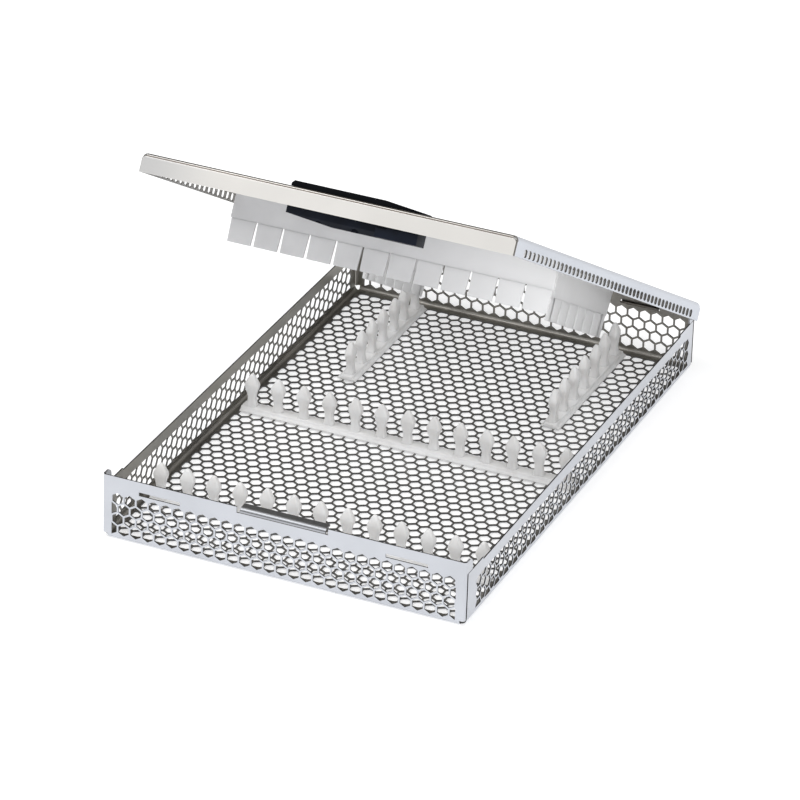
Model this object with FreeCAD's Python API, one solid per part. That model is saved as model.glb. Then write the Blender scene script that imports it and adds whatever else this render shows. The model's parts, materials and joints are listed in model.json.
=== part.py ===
"""Perforated instrument tray with a hinged lid, silicone finger bars and a sliding lock.

Frame: X across the tray, Y from the front wall to the back wall, Z up. The origin is the
centre of the floor's underside. The lid is drawn closed and then turned about its hinge
to the angle at which it stands open.
"""
import FreeCAD
import Part
import math
import os

from FreeCAD import Vector

# Tray body
tray_width = 183.0
tray_depth = 284.0
end_wall_height = 33.1
side_wall_height = 25.2
side_end_rise = 1.1
side_end_run = 20.0
tray_sheet = 0.9
floor_bend = 2.5
corner_bend = 1.6
seam_gap = 0.25

# Corner ears: the end walls' sheet folded round the corner above the side walls
ear_length = 7.5
ear_round = 3.5
ear_gap = 0.4

# Perforation
mesh_pitch = 6.2
mesh_web = 0.7
end_mesh_factor = 1.25
end_mesh_margin = 4.5
end_mesh_top = 24.0
end_mesh_bottom = 3.2
panel_mesh_factor = 6
side_mesh_factor = 2
flange_mesh_factor = 4
floor_margin = 5.5
mesh_band = 2.4
side_mesh_top = 5.2
side_mesh_bottom = 3.6
side_mesh_end = 9.0

# Hinge slots in the end walls
slot_length = 21.0
slot_centre = 62.3
slot_height = 1.9
slot_drop = 5.2

# Catch lip in the middle of each end wall
lip_length = 43.0
lip_relief = 1.5
lip_relief_depth = 1.2
lip_bend = 2.5
lip_reach = 5.6
lip_drop = 0.5

# Lid
lid_sheet = 0.8
lid_gap = 0.5
lid_lift = 0.9
lid_bend = 2.4
lid_front_bend = 1.4
flange_depth = 9.0
flange_corner_inset = 0.5
flange_hole_margin = 0.7
flange_hole_height = 4.4
flange_mesh_front = 18.0
flange_mesh_back = 9.5
lid_margin = 6.0
lid_front_margin = 20.0
lid_open_angle = 30.7

# Lid hooks, each a strip curled through a slot of the back wall
hook_side_gap = 0.5
hook_inner_radius = 1.8
hook_wrap = 115.0
hook_slot_clearance = 0.3
rear_flange_lift = 1.6
rear_flange_cut = 2.0

# Finger bars
tooth_tip_height = 20.3
tooth_wide_height = 14.2
tooth_neck_height = 8.0
tooth_tip_width = 1.4
tooth_wide_width = 7.2
tooth_neck_width = 3.8
tooth_root_width = 5.6
tooth_tip_thickness = 1.6
tooth_wide_thickness = 4.4
tooth_neck_thickness = 3.4
tooth_root_thickness = 4.6
bar_base_width = 10.0
bar_base_top_width = 6.0
bar_base_height = 2.4
bar_end_reach = 4.6
bar_wall_gap = 3.8
cross_tooth_count = 13
rear_tooth_count = 7
rear_tooth_pitch = 13.0
front_bar_inset = 42.5
rear_bar_inset = 50.6
rear_bar_side = 37.5

# Plugs that hold the bars in the floor and the comb strips in the lid
plug_clearance = 0.15
plug_flush = 0.1
bar_plug_teeth = (1, 4)
stud_head_across = 8.0
stud_head_height = 1.5
comb_stud_slits = (1.5, 4.5)
rear_comb_stud_slits = (2,)

# Comb strips under the lid
comb_inset = 93.5
rear_comb_side = 43.5
rear_comb_end = 3.0
rear_comb_slant = 2.6
comb_drop = 26.7
comb_crease_drop = 15.8
comb_web = 2.4
comb_flap = 1.3
comb_slit = 1.4
comb_flap_count = 12
rear_comb_flap_count = 6
comb_seat_gap = 0.05

# Sliding lock
lock_left = -20.8
lock_length = 66.4
lock_step = 45.8
lock_travel = 14.7
lock_bottom_drop = 14.2
lock_left_bottom_drop = 12.0
lock_run_in = 21.5
lock_chamfer = 2.2
lock_back = 5.9
lock_gap = 0.35
lock_lip_gap = 0.5
lock_tongue_gap = 0.4
lock_tongue_wall_gap = 0.5
lock_tongue_chamfer = 1.0
lock_pocket_length = 5.5
lock_pocket_height = 3.4
lock_pocket_depth = 1.5
lock_pocket_drop = 6.6
neck_length = 30.0
neck_offset = 10.0
neck_width = 4.0
grip_height = 2.6
grip_depth = 8.0
grip_ramp = 20.0
grip_ramp_end = 0.6
grip_seat = 0.3
screw_radius = 1.2
screw_head_radius = 2.1
screw_head_height = 1.6
screw_spacing = 18.0
screw_bite = 1.7
screw_grip = 3.0

# Worked-out sizes
half_width = tray_width / 2
half_depth = tray_depth / 2
side_top = side_wall_height + side_end_rise
mesh_hole = mesh_pitch - mesh_web
bar_reach = half_width - tray_sheet - bar_wall_gap
cross_tooth_pitch = 2 * (bar_reach - bar_end_reach) / (cross_tooth_count - 1)
front_bar_y = -half_depth + front_bar_inset
rear_bar_y = half_depth - rear_bar_inset
rear_bar_x = half_width - rear_bar_side
comb_y = -half_depth + comb_inset
rear_comb_x = half_width - rear_comb_side
hook_width = slot_length - 2 * hook_side_gap
row_step = math.sqrt(3) / 2
wall_mid_y = half_depth - tray_sheet / 2
slot_top = end_wall_height - slot_drop
slot_bottom = slot_top - slot_height
hook_outer_radius = hook_inner_radius + lid_sheet
hinge_z = slot_bottom + hook_slot_clearance + hook_outer_radius
lip_top = end_wall_height - lip_drop
lid_underside = end_wall_height + lid_lift
lid_top_z = lid_underside + lid_sheet
lid_half_width = half_width + lid_gap + lid_sheet
lid_front_y = -(half_depth + lid_gap + lid_sheet)
lid_back_y = wall_mid_y + hook_outer_radius
flange_bottom = lid_top_z - flange_depth
lock_front = -half_depth + lip_reach + lock_lip_gap
lock_rear = lock_front + lock_back


def polygon_wire(points):
    """Closed wire through points given in a flat plane."""
    corners = [Vector(u, v, 0) for u, v in points]
    return Part.makePolygon(corners + corners[:1])


def clip_polygon(points, low, high):
    """The part of a convex polygon inside the rectangle from low to high."""
    for axis, limit, keep_above in ((0, low[0], True), (0, high[0], False),
                                    (1, low[1], True), (1, high[1], False)):
        def inside(point):
            return point[axis] >= limit if keep_above else point[axis] <= limit
        kept = []
        for start, end in zip(points, points[1:] + points[:1]):
            if inside(start):
                kept.append(start)
            if inside(start) != inside(end):
                share = (limit - start[axis]) / (end[axis] - start[axis])
                kept.append(tuple(a + share * (b - a) for a, b in zip(start, end)))
        points = kept
        if len(points) < 3:
            return []
    return points


def polygon_area(points):
    """Area of a flat polygon."""
    pairs = zip(points, points[1:] + points[:1])
    return abs(sum(a[0] * b[1] - b[0] * a[1] for a, b in pairs)) / 2


def hexagon(centre_u, centre_v, across_flats, points_up):
    """Corners of a regular hexagon, with a corner at the top or at the sides."""
    radius = across_flats / math.sqrt(3)
    turn = math.pi / 2 if points_up else 0.0
    angles = [turn + math.pi / 3 * corner for corner in range(6)]
    return [(centre_u + radius * math.cos(a), centre_v + radius * math.sin(a)) for a in angles]


def long_hexagon(centre_u, centre_v, length, height):
    """Corners of a stretched hexagon with a corner at each end."""
    half, tip = length / 2, height / 2 / math.sqrt(3)
    upper = [(centre_u + half, centre_v), (centre_u + half - tip, centre_v + height / 2),
             (centre_u - half + tip, centre_v + height / 2)]
    return upper + [(2 * centre_u - u, 2 * centre_v - v) for u, v in upper]


def free_zones(low, high, keep_out, band):
    """Rectangles left of a panel around its keep-out rectangles, a band of sheet apart."""
    zones = [(low, high)]
    for stay_low, stay_high in keep_out:
        split = []
        for start, end in zones:
            if any(stay_high[axis] <= start[axis] or stay_low[axis] >= end[axis] for axis in (0, 1)):
                split.append((start, end))
                continue
            floor_v = max(start[1], stay_low[1] + (band if stay_low[1] > start[1] else 0))
            ceiling_v = min(end[1], stay_high[1] - (band if stay_high[1] < end[1] else 0))
            split += [(start, (end[0], stay_low[1])), ((start[0], stay_high[1]), end),
                      ((start[0], floor_v), (stay_low[0], ceiling_v)),
                      ((stay_high[0], floor_v), (end[0], ceiling_v))]
        zones = [(start, end) for start, end in split
                 if all(end[axis] - start[axis] > band for axis in (0, 1))]
    return zones


def mesh_holes(low, high, keep_out, factor):
    """Holes of a large panel's mesh, drawn coarser by a factor, clear of the keep-outs."""
    pitch = mesh_pitch * factor
    holes = []
    for start, end in free_zones(low, high, keep_out, mesh_band):
        holes += hexagon_field(start, end, pitch, pitch - mesh_band, False, least=1 / 5)
    return holes


def bounds(corners):
    """Low and high corner of flat points."""
    return ([min(c[axis] for c in corners) for axis in (0, 1)],
            [max(c[axis] for c in corners) for axis in (0, 1)])


def hexagon_field(low, high, pitch, across_flats, points_up=True, anchor=(0.0, 0.0), least=1 / 3):
    """Staggered hexagons over a rectangle, cut straight where they cross its edge.

    least is the share of a whole hexagon below which a cut one is left out.
    """
    along, across = (0, 1) if points_up else (1, 0)
    reach = [max(abs(low[axis] - anchor[axis]), abs(high[axis] - anchor[axis])) for axis in (0, 1)]
    columns = int(reach[along] / pitch) + 2
    rows = int(reach[across] / (pitch * row_step)) + 2
    smallest = polygon_area(hexagon(0, 0, across_flats, points_up)) * least
    field = []
    for row in range(-rows, rows + 1):
        shift = pitch / 2 if row % 2 else 0.0
        for column in range(-columns, columns + 1):
            place = [0.0, 0.0]
            place[along] = anchor[along] + column * pitch + shift
            place[across] = anchor[across] + row * pitch * row_step
            hole = clip_polygon(hexagon(*place, across_flats, points_up), low, high)
            if len(hole) > 2 and polygon_area(hole) > smallest:
                field.append(hole)
    return field


def sheet_panel(outline, holes, thickness):
    """Flat sheet in the XY plane with its holes, thickened along +Z."""
    wires = [polygon_wire(outline)] + [polygon_wire(hole) for hole in holes]
    return Part.makeFace(wires, "Part::FaceMakerBullseye").extrude(Vector(0, 0, thickness))


def stand_up(shape, y):
    """Turn a panel drawn in XY upright across X, with its outer face at y, facing -Y."""
    upright = shape.copy()
    upright.rotate(Vector(0, 0, 0), Vector(1, 0, 0), 90)
    upright.translate(Vector(0, y, 0))
    return upright


def along_x(profile, start, end):
    """Solid with a YZ profile, running along X from start to end."""
    bar = sheet_panel(profile, [], end - start)
    bar.rotate(Vector(0, 0, 0), Vector(1, 1, 1), 120)
    bar.translate(Vector(start, 0, 0))
    return bar


def box(low, high):
    """Box between two corners."""
    size = [b - a for a, b in zip(low, high)]
    return Part.makeBox(*size, Vector(*low))


def ring_sector(centre, axis, start, sweep, outer, inner, length):
    """Part of a ring about an axis through centre, as a bent strip of sheet.

    start is the direction of the strip's first edge, sweep its angle and length
    its reach along the axis.
    """
    first = Vector(*start)
    pieces = [Vector(*centre) + first * radius for radius in (inner, outer)]
    edge = Part.makeLine(*pieces)
    band = edge.revolve(Vector(*centre), Vector(*axis), sweep)
    return band.extrude(Vector(*axis) * length)


def mirrored(shape, across_x):
    """Copy of a shape mirrored to the other side of the tray."""
    normal = Vector(1, 0, 0) if across_x else Vector(0, 1, 0)
    return shape.mirror(Vector(0, 0, 0), normal)


def fuse(shapes):
    """One clean solid from touching pieces."""
    return shapes[0].fuse(shapes[1:]).removeSplitter() if len(shapes) > 1 else shapes[0]


def half_turn(shape):
    """Copy of a shape turned half round about Z."""
    turned = shape.copy()
    turned.rotate(Vector(0, 0, 0), Vector(0, 0, 1), 180)
    return turned


def slot_outline(centre_x):
    """Hinge slot in an end wall."""
    half = slot_length / 2
    return [(centre_x - half, slot_bottom), (centre_x + half, slot_bottom),
            (centre_x + half, slot_top), (centre_x - half, slot_top)]


def front_wall():
    """End wall with its mesh, hinge slots, floor bend, corner bends and catch lip."""
    flat_half = half_width - corner_bend
    lip_half = lip_length / 2
    relief_half = lip_half + lip_relief
    lip_root = lip_top - lip_bend
    relief_bottom = lip_root - lip_relief_depth
    right_side = [(flat_half, floor_bend), (flat_half, end_wall_height),
                  (relief_half, end_wall_height), (relief_half, relief_bottom),
                  (lip_half, relief_bottom), (lip_half, lip_root)]
    outline = right_side + [(-x, z) for x, z in reversed(right_side)]
    pitch, hole = mesh_pitch * end_mesh_factor, mesh_hole * end_mesh_factor
    mesh_half = int((tray_width - 2 * end_mesh_margin) / pitch) * pitch / 2
    low, high = (-mesh_half, end_mesh_bottom), (mesh_half, end_mesh_top)
    anchor = (pitch / 2 - mesh_half, end_mesh_top - hole / math.sqrt(3))
    holes = hexagon_field(low, high, pitch, hole, True, anchor)
    slots = [slot_outline(side * slot_centre) for side in (-1, 1)]
    panel = stand_up(sheet_panel(outline, holes + slots, tray_sheet), -half_depth + tray_sheet)

    bend_half = half_width - floor_bend
    bend = ring_sector((-bend_half, -half_depth + floor_bend, floor_bend), (1, 0, 0),
                       (0, -1, 0), 90, floor_bend, floor_bend - tray_sheet, bend_half * 2)
    corner = ring_sector((flat_half, -half_depth + corner_bend, floor_bend), (0, 0, 1),
                         (0, -1, 0), 90, corner_bend, corner_bend - tray_sheet,
                         end_wall_height - floor_bend)
    lip_curl = ring_sector((lip_half, -half_depth + lip_bend, lip_root), (-1, 0, 0),
                           (0, -1, 0), 90, lip_bend, lip_bend - tray_sheet, lip_length)
    lip_flat = box((-lip_half, -half_depth + lip_bend, lip_top - tray_sheet),
                   (lip_half, -half_depth + lip_reach, lip_top))
    return fuse([panel, bend, corner, mirrored(corner, True), lip_curl, lip_flat])


def corner_ears():
    """Four ears, each folded back from an end wall above the side wall."""
    start = corner_bend
    low_z = side_top + ear_gap
    plate = Part.makeBox(tray_sheet, ear_length - start, end_wall_height - low_z,
                         Vector(half_width - tray_sheet, -half_depth + start, low_z))
    rear_top = [edge for edge in plate.Edges
                if abs(edge.CenterOfMass.y - (-half_depth + ear_length)) < 1e-6
                and abs(edge.CenterOfMass.z - end_wall_height) < 1e-6]
    ear = plate.makeFillet(ear_round, rear_top)
    pair = [ear, mirrored(ear, True)]
    return pair + [mirrored(piece, False) for piece in pair]


def side_wall():
    """Right side wall with its mesh and floor bend."""
    end_y = half_depth - corner_bend - seam_gap
    step_y = half_depth - side_end_run
    outline = [(-end_y, floor_bend), (end_y, floor_bend), (end_y, side_top), (step_y, side_top),
               (step_y - side_end_rise, side_wall_height),
               (-step_y + side_end_rise, side_wall_height), (-step_y, side_top), (-end_y, side_top)]
    low = (-half_depth + side_mesh_end, side_mesh_bottom)
    high = (half_depth - side_mesh_end, side_wall_height - side_mesh_top)
    middle = (low[1] + high[1]) / 2
    pitch = mesh_pitch * side_mesh_factor
    holes = hexagon_field(low, high, pitch, pitch - mesh_web * side_mesh_factor, True,
                          (pitch / 2, middle))
    panel = stand_up(sheet_panel(outline, holes, tray_sheet), 0)
    panel.rotate(Vector(0, 0, 0), Vector(0, 0, 1), 90)
    panel.translate(Vector(half_width - tray_sheet, 0, 0))
    bend_half = half_depth - floor_bend
    bend = ring_sector((half_width - floor_bend, -bend_half, floor_bend), (0, 1, 0),
                       (1, 0, 0), 90, floor_bend, floor_bend - tray_sheet, bend_half * 2)
    return fuse([panel, bend])


def bar_places():
    """Node name, tooth count, pitch, centre and turn of each finger bar."""
    return {
        "bar_front": (cross_tooth_count, cross_tooth_pitch, (0.0, front_bar_y), 0),
        "bar_middle": (cross_tooth_count, cross_tooth_pitch, (0.0, 0.0), 0),
        "bar_rear_left": (rear_tooth_count, rear_tooth_pitch, (-rear_bar_x, rear_bar_y), 90),
        "bar_rear_right": (rear_tooth_count, rear_tooth_pitch, (rear_bar_x, rear_bar_y), 90),
    }


def plug_offsets(count, pitch):
    """Places of a bar's plugs along it, between teeth, counted from both ends."""
    half = (count - 1) * pitch / 2
    inner = [tooth for tooth in bar_plug_teeth if tooth < (count - 1) / 2]
    offsets = [-half + (tooth + 0.5) * pitch for tooth in inner]
    return offsets + [-offset for offset in reversed(offsets)]


def placed(points, centre, turn):
    """Flat points turned by 0 or 90 degrees and moved to a centre."""
    if turn:
        points = [(-v, u) for u, v in points]
    return [(u + centre[0], v + centre[1]) for u, v in points]


def tray_floor():
    """Floor panel with its mesh, solid under the bars apart from their plug holes."""
    half_x, half_y = half_width - floor_bend, half_depth - floor_bend
    outline = [(-half_x, -half_y), (half_x, -half_y), (half_x, half_y), (-half_x, half_y)]
    plug_holes, keep_out = [], []
    for count, pitch, centre, turn in bar_places().values():
        half = (count - 1) * pitch / 2 + bar_end_reach
        corners = placed([(-half, -bar_base_width / 2), (half, bar_base_width / 2)], centre, turn)
        keep_out.append(bounds(corners))
        for offset in plug_offsets(count, pitch):
            plug_holes.append(placed(hexagon(offset, 0, mesh_hole, False), centre, turn))
    high = (half_width - floor_margin, half_depth - floor_margin)
    holes = mesh_holes((-high[0], -high[1]), high, keep_out, panel_mesh_factor)
    return sheet_panel(outline, holes + plug_holes, tray_sheet)


def frustum(low_z, low_size, high_z, high_size):
    """Four-sided taper between two centred rectangles."""
    low_u, low_v, high_u, high_v = [size / 2 for size in (*low_size, *high_size)]
    taper = Part.makeWedge(-low_u, low_z, -low_v, -high_v, -high_u,
                           low_u, high_z, low_v, high_v, high_u)
    taper.rotate(Vector(0, 0, 0), Vector(1, 0, 0), 90)
    return taper


def finger_bar(count, pitch, centre, turn):
    """Moulded bar: flared base, spear-shaped teeth and plugs into the floor."""
    half = (count - 1) * pitch / 2
    base_bottom, base_top = tray_sheet, tray_sheet + bar_base_height
    length = 2 * (half + bar_end_reach)
    slope = bar_base_width - bar_base_top_width
    pieces = [frustum(base_bottom, (length, bar_base_width),
                      base_top, (length - slope, bar_base_top_width))]
    tooth = fuse([
        frustum(base_top, (tooth_root_width, tooth_root_thickness),
                tooth_neck_height, (tooth_neck_width, tooth_neck_thickness)),
        frustum(tooth_neck_height, (tooth_neck_width, tooth_neck_thickness),
                tooth_wide_height, (tooth_wide_width, tooth_wide_thickness)),
        frustum(tooth_wide_height, (tooth_wide_width, tooth_wide_thickness),
                tooth_tip_height, (tooth_tip_width, tooth_tip_thickness))])
    for index in range(count):
        copy = tooth.copy()
        copy.translate(Vector(index * pitch - half, 0, 0))
        pieces.append(copy)
    plug_face = mesh_hole - 2 * plug_clearance
    for offset in plug_offsets(count, pitch):
        plug = sheet_panel(hexagon(offset, 0, plug_face, False), [], base_bottom - plug_flush)
        plug.translate(Vector(0, 0, plug_flush))
        pieces.append(plug)
    bar = fuse(pieces)
    bar.rotate(Vector(0, 0, 0), Vector(0, 0, 1), turn)
    bar.translate(Vector(centre[0], centre[1], 0))
    return bar


def comb_places():
    """Flap count, pitch, stud places, end margin and slant, centre and turn of each strip."""
    cross = (comb_flap_count, cross_tooth_pitch, comb_stud_slits, (0.0, 0.0), (0.0, comb_y), 0)
    rear = (rear_comb_flap_count, rear_tooth_pitch, rear_comb_stud_slits,
            (rear_comb_end, rear_comb_slant))
    return {
        "comb_front": cross,
        "comb_rear_left": rear + ((-rear_comb_x, rear_bar_y), 90),
        "comb_rear_right": rear + ((rear_comb_x, rear_bar_y), 90),
    }


def stud_offsets(pitch, slits):
    """Places of a comb strip's studs along it, both sides of its middle."""
    return [side * slit * pitch for slit in slits for side in (-1, 1)]


def comb_strip(count, pitch, slits, ends, centre, turn):
    """Silicone strip: thick web, thin flaps cut apart by tapering slits, studs into the lid."""
    margin, slant = ends
    half = count * pitch / 2 + margin
    top = lid_underside - comb_seat_gap
    crease = lid_underside - comb_crease_drop
    bottom = lid_underside - comb_drop
    rear_low, rear_crease, rear_top = [half + slant * (z - bottom) / (top - bottom)
                                       for z in (bottom, crease, top)]
    outline = [(-half, crease), (rear_crease, crease), (rear_top, top), (-half, top)]
    pieces = [stand_up(sheet_panel(outline, [], comb_web), comb_web / 2)]
    slots = [(index - count / 2) * pitch for index in range(1, count)]
    lows = [-half] + [slot + side * comb_slit / 2 for slot in slots for side in (-1, 1)] + [rear_low]
    highs = [-half] + [slot + side * comb_slit / 4 for slot in slots for side in (-1, 1)] + [rear_crease]
    for index in range(0, 2 * count, 2):
        flap = [(lows[index], bottom), (lows[index + 1], bottom),
                (highs[index + 1], crease), (highs[index], crease)]
        pieces.append(stand_up(sheet_panel(flap, [], comb_flap), comb_flap / 2))
    for offset in stud_offsets(pitch, slits):
        stem = sheet_panel(hexagon(offset, 0, mesh_hole - 2 * plug_clearance, False), [],
                           lid_sheet + 2 * comb_seat_gap)
        head = sheet_panel(hexagon(offset, 0, stud_head_across, False), [], stud_head_height)
        stem.translate(Vector(0, 0, top))
        head.translate(Vector(0, 0, lid_top_z + comb_seat_gap))
        pieces += [stem, head]
    strip = fuse(pieces)
    strip.rotate(Vector(0, 0, 0), Vector(0, 0, 1), turn)
    strip.translate(Vector(centre[0], centre[1], 0))
    return strip


def lock_slot():
    """Low and high corner of the slot in the lid that the lock's neck slides in."""
    left = lock_left + neck_offset - lock_travel - lock_gap
    right = lock_left + neck_offset + neck_length + lock_gap
    middle = (lock_front + lock_rear) / 2
    reach = neck_width / 2 + lock_gap
    return (left, middle - reach), (right, middle + reach)


def lid_panel():
    """Flat top of the lid with its mesh, stud holes and the lock's slot."""
    half_x = lid_half_width - lid_bend
    front, back = lid_front_y + lid_front_bend, lid_back_y - lid_bend
    outline = [(-half_x, front), (half_x, front), (half_x, back), (-half_x, back)]
    stud_holes, keep_out = [], []
    for count, pitch, slits, ends, centre, turn in comb_places().values():
        for offset in stud_offsets(pitch, slits):
            stud_holes.append(placed(hexagon(offset, 0, mesh_hole, False), centre, turn))
        reach, across = count * pitch / 2 + sum(ends), stud_head_across / 2
        keep_out.append(bounds(placed([(-reach, -across), (reach, across)], centre, turn)))
    high = (lid_half_width - lid_margin, lid_back_y - lid_margin)
    low = (-high[0], lid_front_y + lid_front_margin)
    holes = mesh_holes(low, high, keep_out, panel_mesh_factor)
    slot_low, slot_high = lock_slot()
    slot = [slot_low, (slot_high[0], slot_low[1]), slot_high, (slot_low[0], slot_high[1])]
    panel = sheet_panel(outline, holes + stud_holes + [slot], lid_sheet)
    panel.translate(Vector(0, 0, lid_underside))
    return panel


def lid_front_flange():
    """Plain front flange with its tight bend, rounded at its upper corners."""
    edge, bend_half = lid_half_width - flange_corner_inset, lid_half_width - lid_bend
    shoulder = lid_top_z - lid_front_bend
    outline = [(-edge, flange_bottom), (edge, flange_bottom), (edge, shoulder), (-edge, shoulder)]
    panel = stand_up(sheet_panel(outline, [], lid_sheet), lid_front_y + lid_sheet)
    corners = [side for side in panel.Edges if abs(abs(side.CenterOfMass.x) - edge) < 1e-6
               and abs(side.CenterOfMass.z - shoulder) < 1e-6]
    panel = panel.makeFillet(edge - bend_half, corners)
    bend = ring_sector((bend_half, lid_front_y + lid_front_bend, shoulder), (-1, 0, 0),
                       (0, -1, 0), 90, lid_front_bend, lid_front_bend - lid_sheet, 2 * bend_half)
    return fuse([panel, bend])


def lid_side_flange():
    """Right flange with its bend and one row of mesh near its edge."""
    front = lid_front_y + lid_sheet + seam_gap
    back = lid_back_y - lid_sheet - seam_gap
    shoulder = lid_top_z - lid_bend
    outline = [(front, flange_bottom), (back, flange_bottom), (back, shoulder), (front, shoulder)]
    pitch = mesh_pitch * flange_mesh_factor
    field_front, field_back = lid_front_y + flange_mesh_front, lid_back_y - flange_mesh_back
    count = int((field_back - field_front) / pitch)
    first = (field_front + field_back - (count - 1) * pitch) / 2
    middle = flange_bottom + flange_hole_margin + flange_hole_height / 2
    holes = [long_hexagon(first + index * pitch, middle, pitch - mesh_web, flange_hole_height)
             for index in range(count)]
    panel = stand_up(sheet_panel(outline, holes, lid_sheet), 0)
    panel.rotate(Vector(0, 0, 0), Vector(0, 0, 1), 90)
    panel.translate(Vector(lid_half_width - lid_sheet, 0, 0))
    bend_front = lid_front_y + lid_front_bend + seam_gap
    bend_back = lid_back_y - lid_bend
    bend = ring_sector((lid_half_width - lid_bend, bend_back, shoulder), (0, -1, 0),
                       (1, 0, 0), 90, lid_bend, lid_bend - lid_sheet, bend_back - bend_front)
    return fuse([panel, bend])


def lid_rear_flange():
    """Low rear flange with its bend and the two tabs that carry the hooks."""
    half = lid_half_width - lid_bend - rear_flange_cut
    shoulder = lid_top_z - lid_bend
    edge = hinge_z + rear_flange_lift
    outline = [(half, edge), (half, shoulder), (-half, shoulder), (-half, edge)]
    for side in (-1, 1):
        left, right = side * slot_centre - hook_width / 2, side * slot_centre + hook_width / 2
        outline += [(left, edge), (left, hinge_z), (right, hinge_z), (right, edge)]
    panel = stand_up(sheet_panel(outline, [], lid_sheet), lid_back_y)
    bend = ring_sector((-half, lid_back_y - lid_bend, shoulder), (1, 0, 0), (0, 1, 0),
                       90, lid_bend, lid_bend - lid_sheet, 2 * half)
    return fuse([panel, bend])


def hinge_hooks():
    """Two curled hooks about the hinge axis, each through a slot of the back wall."""
    hooks = []
    for side in (-1, 1):
        right = side * slot_centre + hook_width / 2
        hooks.append(ring_sector((right, wall_mid_y, hinge_z), (-1, 0, 0), (0, 1, 0), hook_wrap,
                                 hook_outer_radius, hook_inner_radius, hook_width))
    return hooks


def lock_slider():
    """Sliding lock below the lid: body, neck through the lid and tongue for the catch lip."""
    right = lock_left + lock_length
    step = lock_left + lock_step
    top = lid_underside - lock_gap
    bottom = lid_top_z - lock_bottom_drop
    left_bottom = lid_top_z - lock_left_bottom_drop
    run_in = lock_left + lock_run_in
    outline = [(lock_left, left_bottom), (run_in, bottom), (right, bottom), (right, top),
               (lock_left, top)]
    body = stand_up(sheet_panel(outline, [], lock_back), lock_rear)
    wedge = along_x([(lock_front, bottom), (lock_front + lock_chamfer, bottom),
                     (lock_front, bottom + lock_chamfer)], lock_left, step)
    tongue_top = lip_top - tray_sheet - lock_tongue_gap
    tongue_front = -half_depth + tray_sheet + lock_tongue_wall_gap
    profile = [(tongue_front, bottom), (lock_front, bottom), (lock_front, tongue_top),
               (tongue_front + lock_tongue_chamfer, tongue_top),
               (tongue_front, tongue_top - lock_tongue_chamfer)]
    tongue = along_x(profile, step, right)
    pocket_top = lid_top_z - lock_pocket_drop
    pocket = box((step, tongue_front, pocket_top - lock_pocket_height),
                 (step + lock_pocket_length, tongue_front + lock_pocket_depth, pocket_top))
    middle = (lock_front + lock_rear) / 2
    neck_left = lock_left + neck_offset
    neck = box((neck_left, middle - neck_width / 2, top),
               (neck_left + neck_length, middle + neck_width / 2, lid_top_z + grip_seat))
    solid = fuse([body.cut(wedge), tongue.cut(pocket), neck])
    for centre in screw_centres():
        shaft = Part.makeCylinder(screw_radius + plug_clearance, lid_top_z + grip_seat - bottom,
                                  Vector(*centre, bottom))
        well = Part.makeCylinder(screw_head_radius + plug_clearance,
                                 screw_seat_z() - bottom, Vector(*centre, bottom))
        solid = solid.cut(shaft).cut(well)
    return solid


def screw_seat_z():
    """Height of the seat under each screw head."""
    return lid_top_z + grip_seat - screw_grip


def screw_centres():
    """Places of the two screws along the lock's neck."""
    middle_x = lock_left + neck_offset + neck_length / 2
    middle_y = (lock_front + lock_rear) / 2
    return [(middle_x + side * screw_spacing / 2, middle_y) for side in (-1, 1)]


def lock_grip():
    """Thumb bar on top of the lid, ramped down at its right end."""
    low = lid_top_z + grip_seat
    high = low + grip_height
    right = lock_left + lock_length
    outline = [(lock_left, low), (right, low), (right, low + grip_ramp_end),
               (right - grip_ramp, high), (lock_left + grip_height / 2, high),
               (lock_left, high - grip_height / 2)]
    middle = (lock_front + lock_rear) / 2
    bar = stand_up(sheet_panel(outline, [], grip_depth), middle + grip_depth / 2)
    for centre in screw_centres():
        bar = bar.cut(Part.makeCylinder(screw_radius, screw_bite, Vector(*centre, low)))
    return bar


def lock_screws():
    """Two screws that clamp the thumb bar to the slider's neck."""
    screws = []
    for centre in screw_centres():
        head = Part.makeCylinder(screw_head_radius, screw_head_height,
                                 Vector(*centre, screw_seat_z() - screw_head_height))
        shank = Part.makeCylinder(screw_radius, screw_grip + screw_bite,
                                  Vector(*centre, screw_seat_z()))
        screws.append(head.fuse(shank).removeSplitter())
    return screws


def opened(shape):
    """A lid piece turned from closed to the angle at which the lid stands open."""
    turned = shape.copy()
    turned.rotate(Vector(0, wall_mid_y, hinge_z), Vector(-1, 0, 0), lid_open_angle)
    return turned


def build():
    """All nodes of the part, by name, each a list of solids."""
    wall = front_wall()
    side = side_wall()
    flange = lid_side_flange()
    nodes = {
        "tray_floor": [tray_floor()],
        "front_wall": [wall],
        "back_wall": [half_turn(wall)],
        "right_wall": [side],
        "left_wall": [mirrored(side, True)],
        "corner_ears": corner_ears(),
    }
    for name, place in bar_places().items():
        nodes[name] = [finger_bar(*place)]
    lid = {
        "lid_panel": [lid_panel()],
        "lid_front_flange": [lid_front_flange()],
        "lid_rear_flange": [lid_rear_flange()],
        "lid_right_flange": [flange],
        "lid_left_flange": [mirrored(flange, True)],
        "hinge_hooks": hinge_hooks(),
        "lock_slider": [lock_slider()],
        "lock_grip": [lock_grip()],
        "lock_screws": lock_screws(),
    }
    for name, place in comb_places().items():
        lid[name] = [comb_strip(*place)]
    for name, solids in lid.items():
        nodes[name] = [opened(solid) for solid in solids]
    return nodes


os.makedirs("parts", exist_ok=True)
for node, solids in build().items():
    shape = solids[0] if len(solids) == 1 else Part.makeCompound(solids)
    shape.exportStep(f"parts/{node}.step")
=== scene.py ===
"""Looks of a perforated sterilizer tray with finger bars, a hinged lid and a sliding lock."""
import json
import logging
import math
from dataclasses import dataclass, replace
from enum import Enum

import bmesh
import bpy
from mathutils import Matrix, Vector


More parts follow.
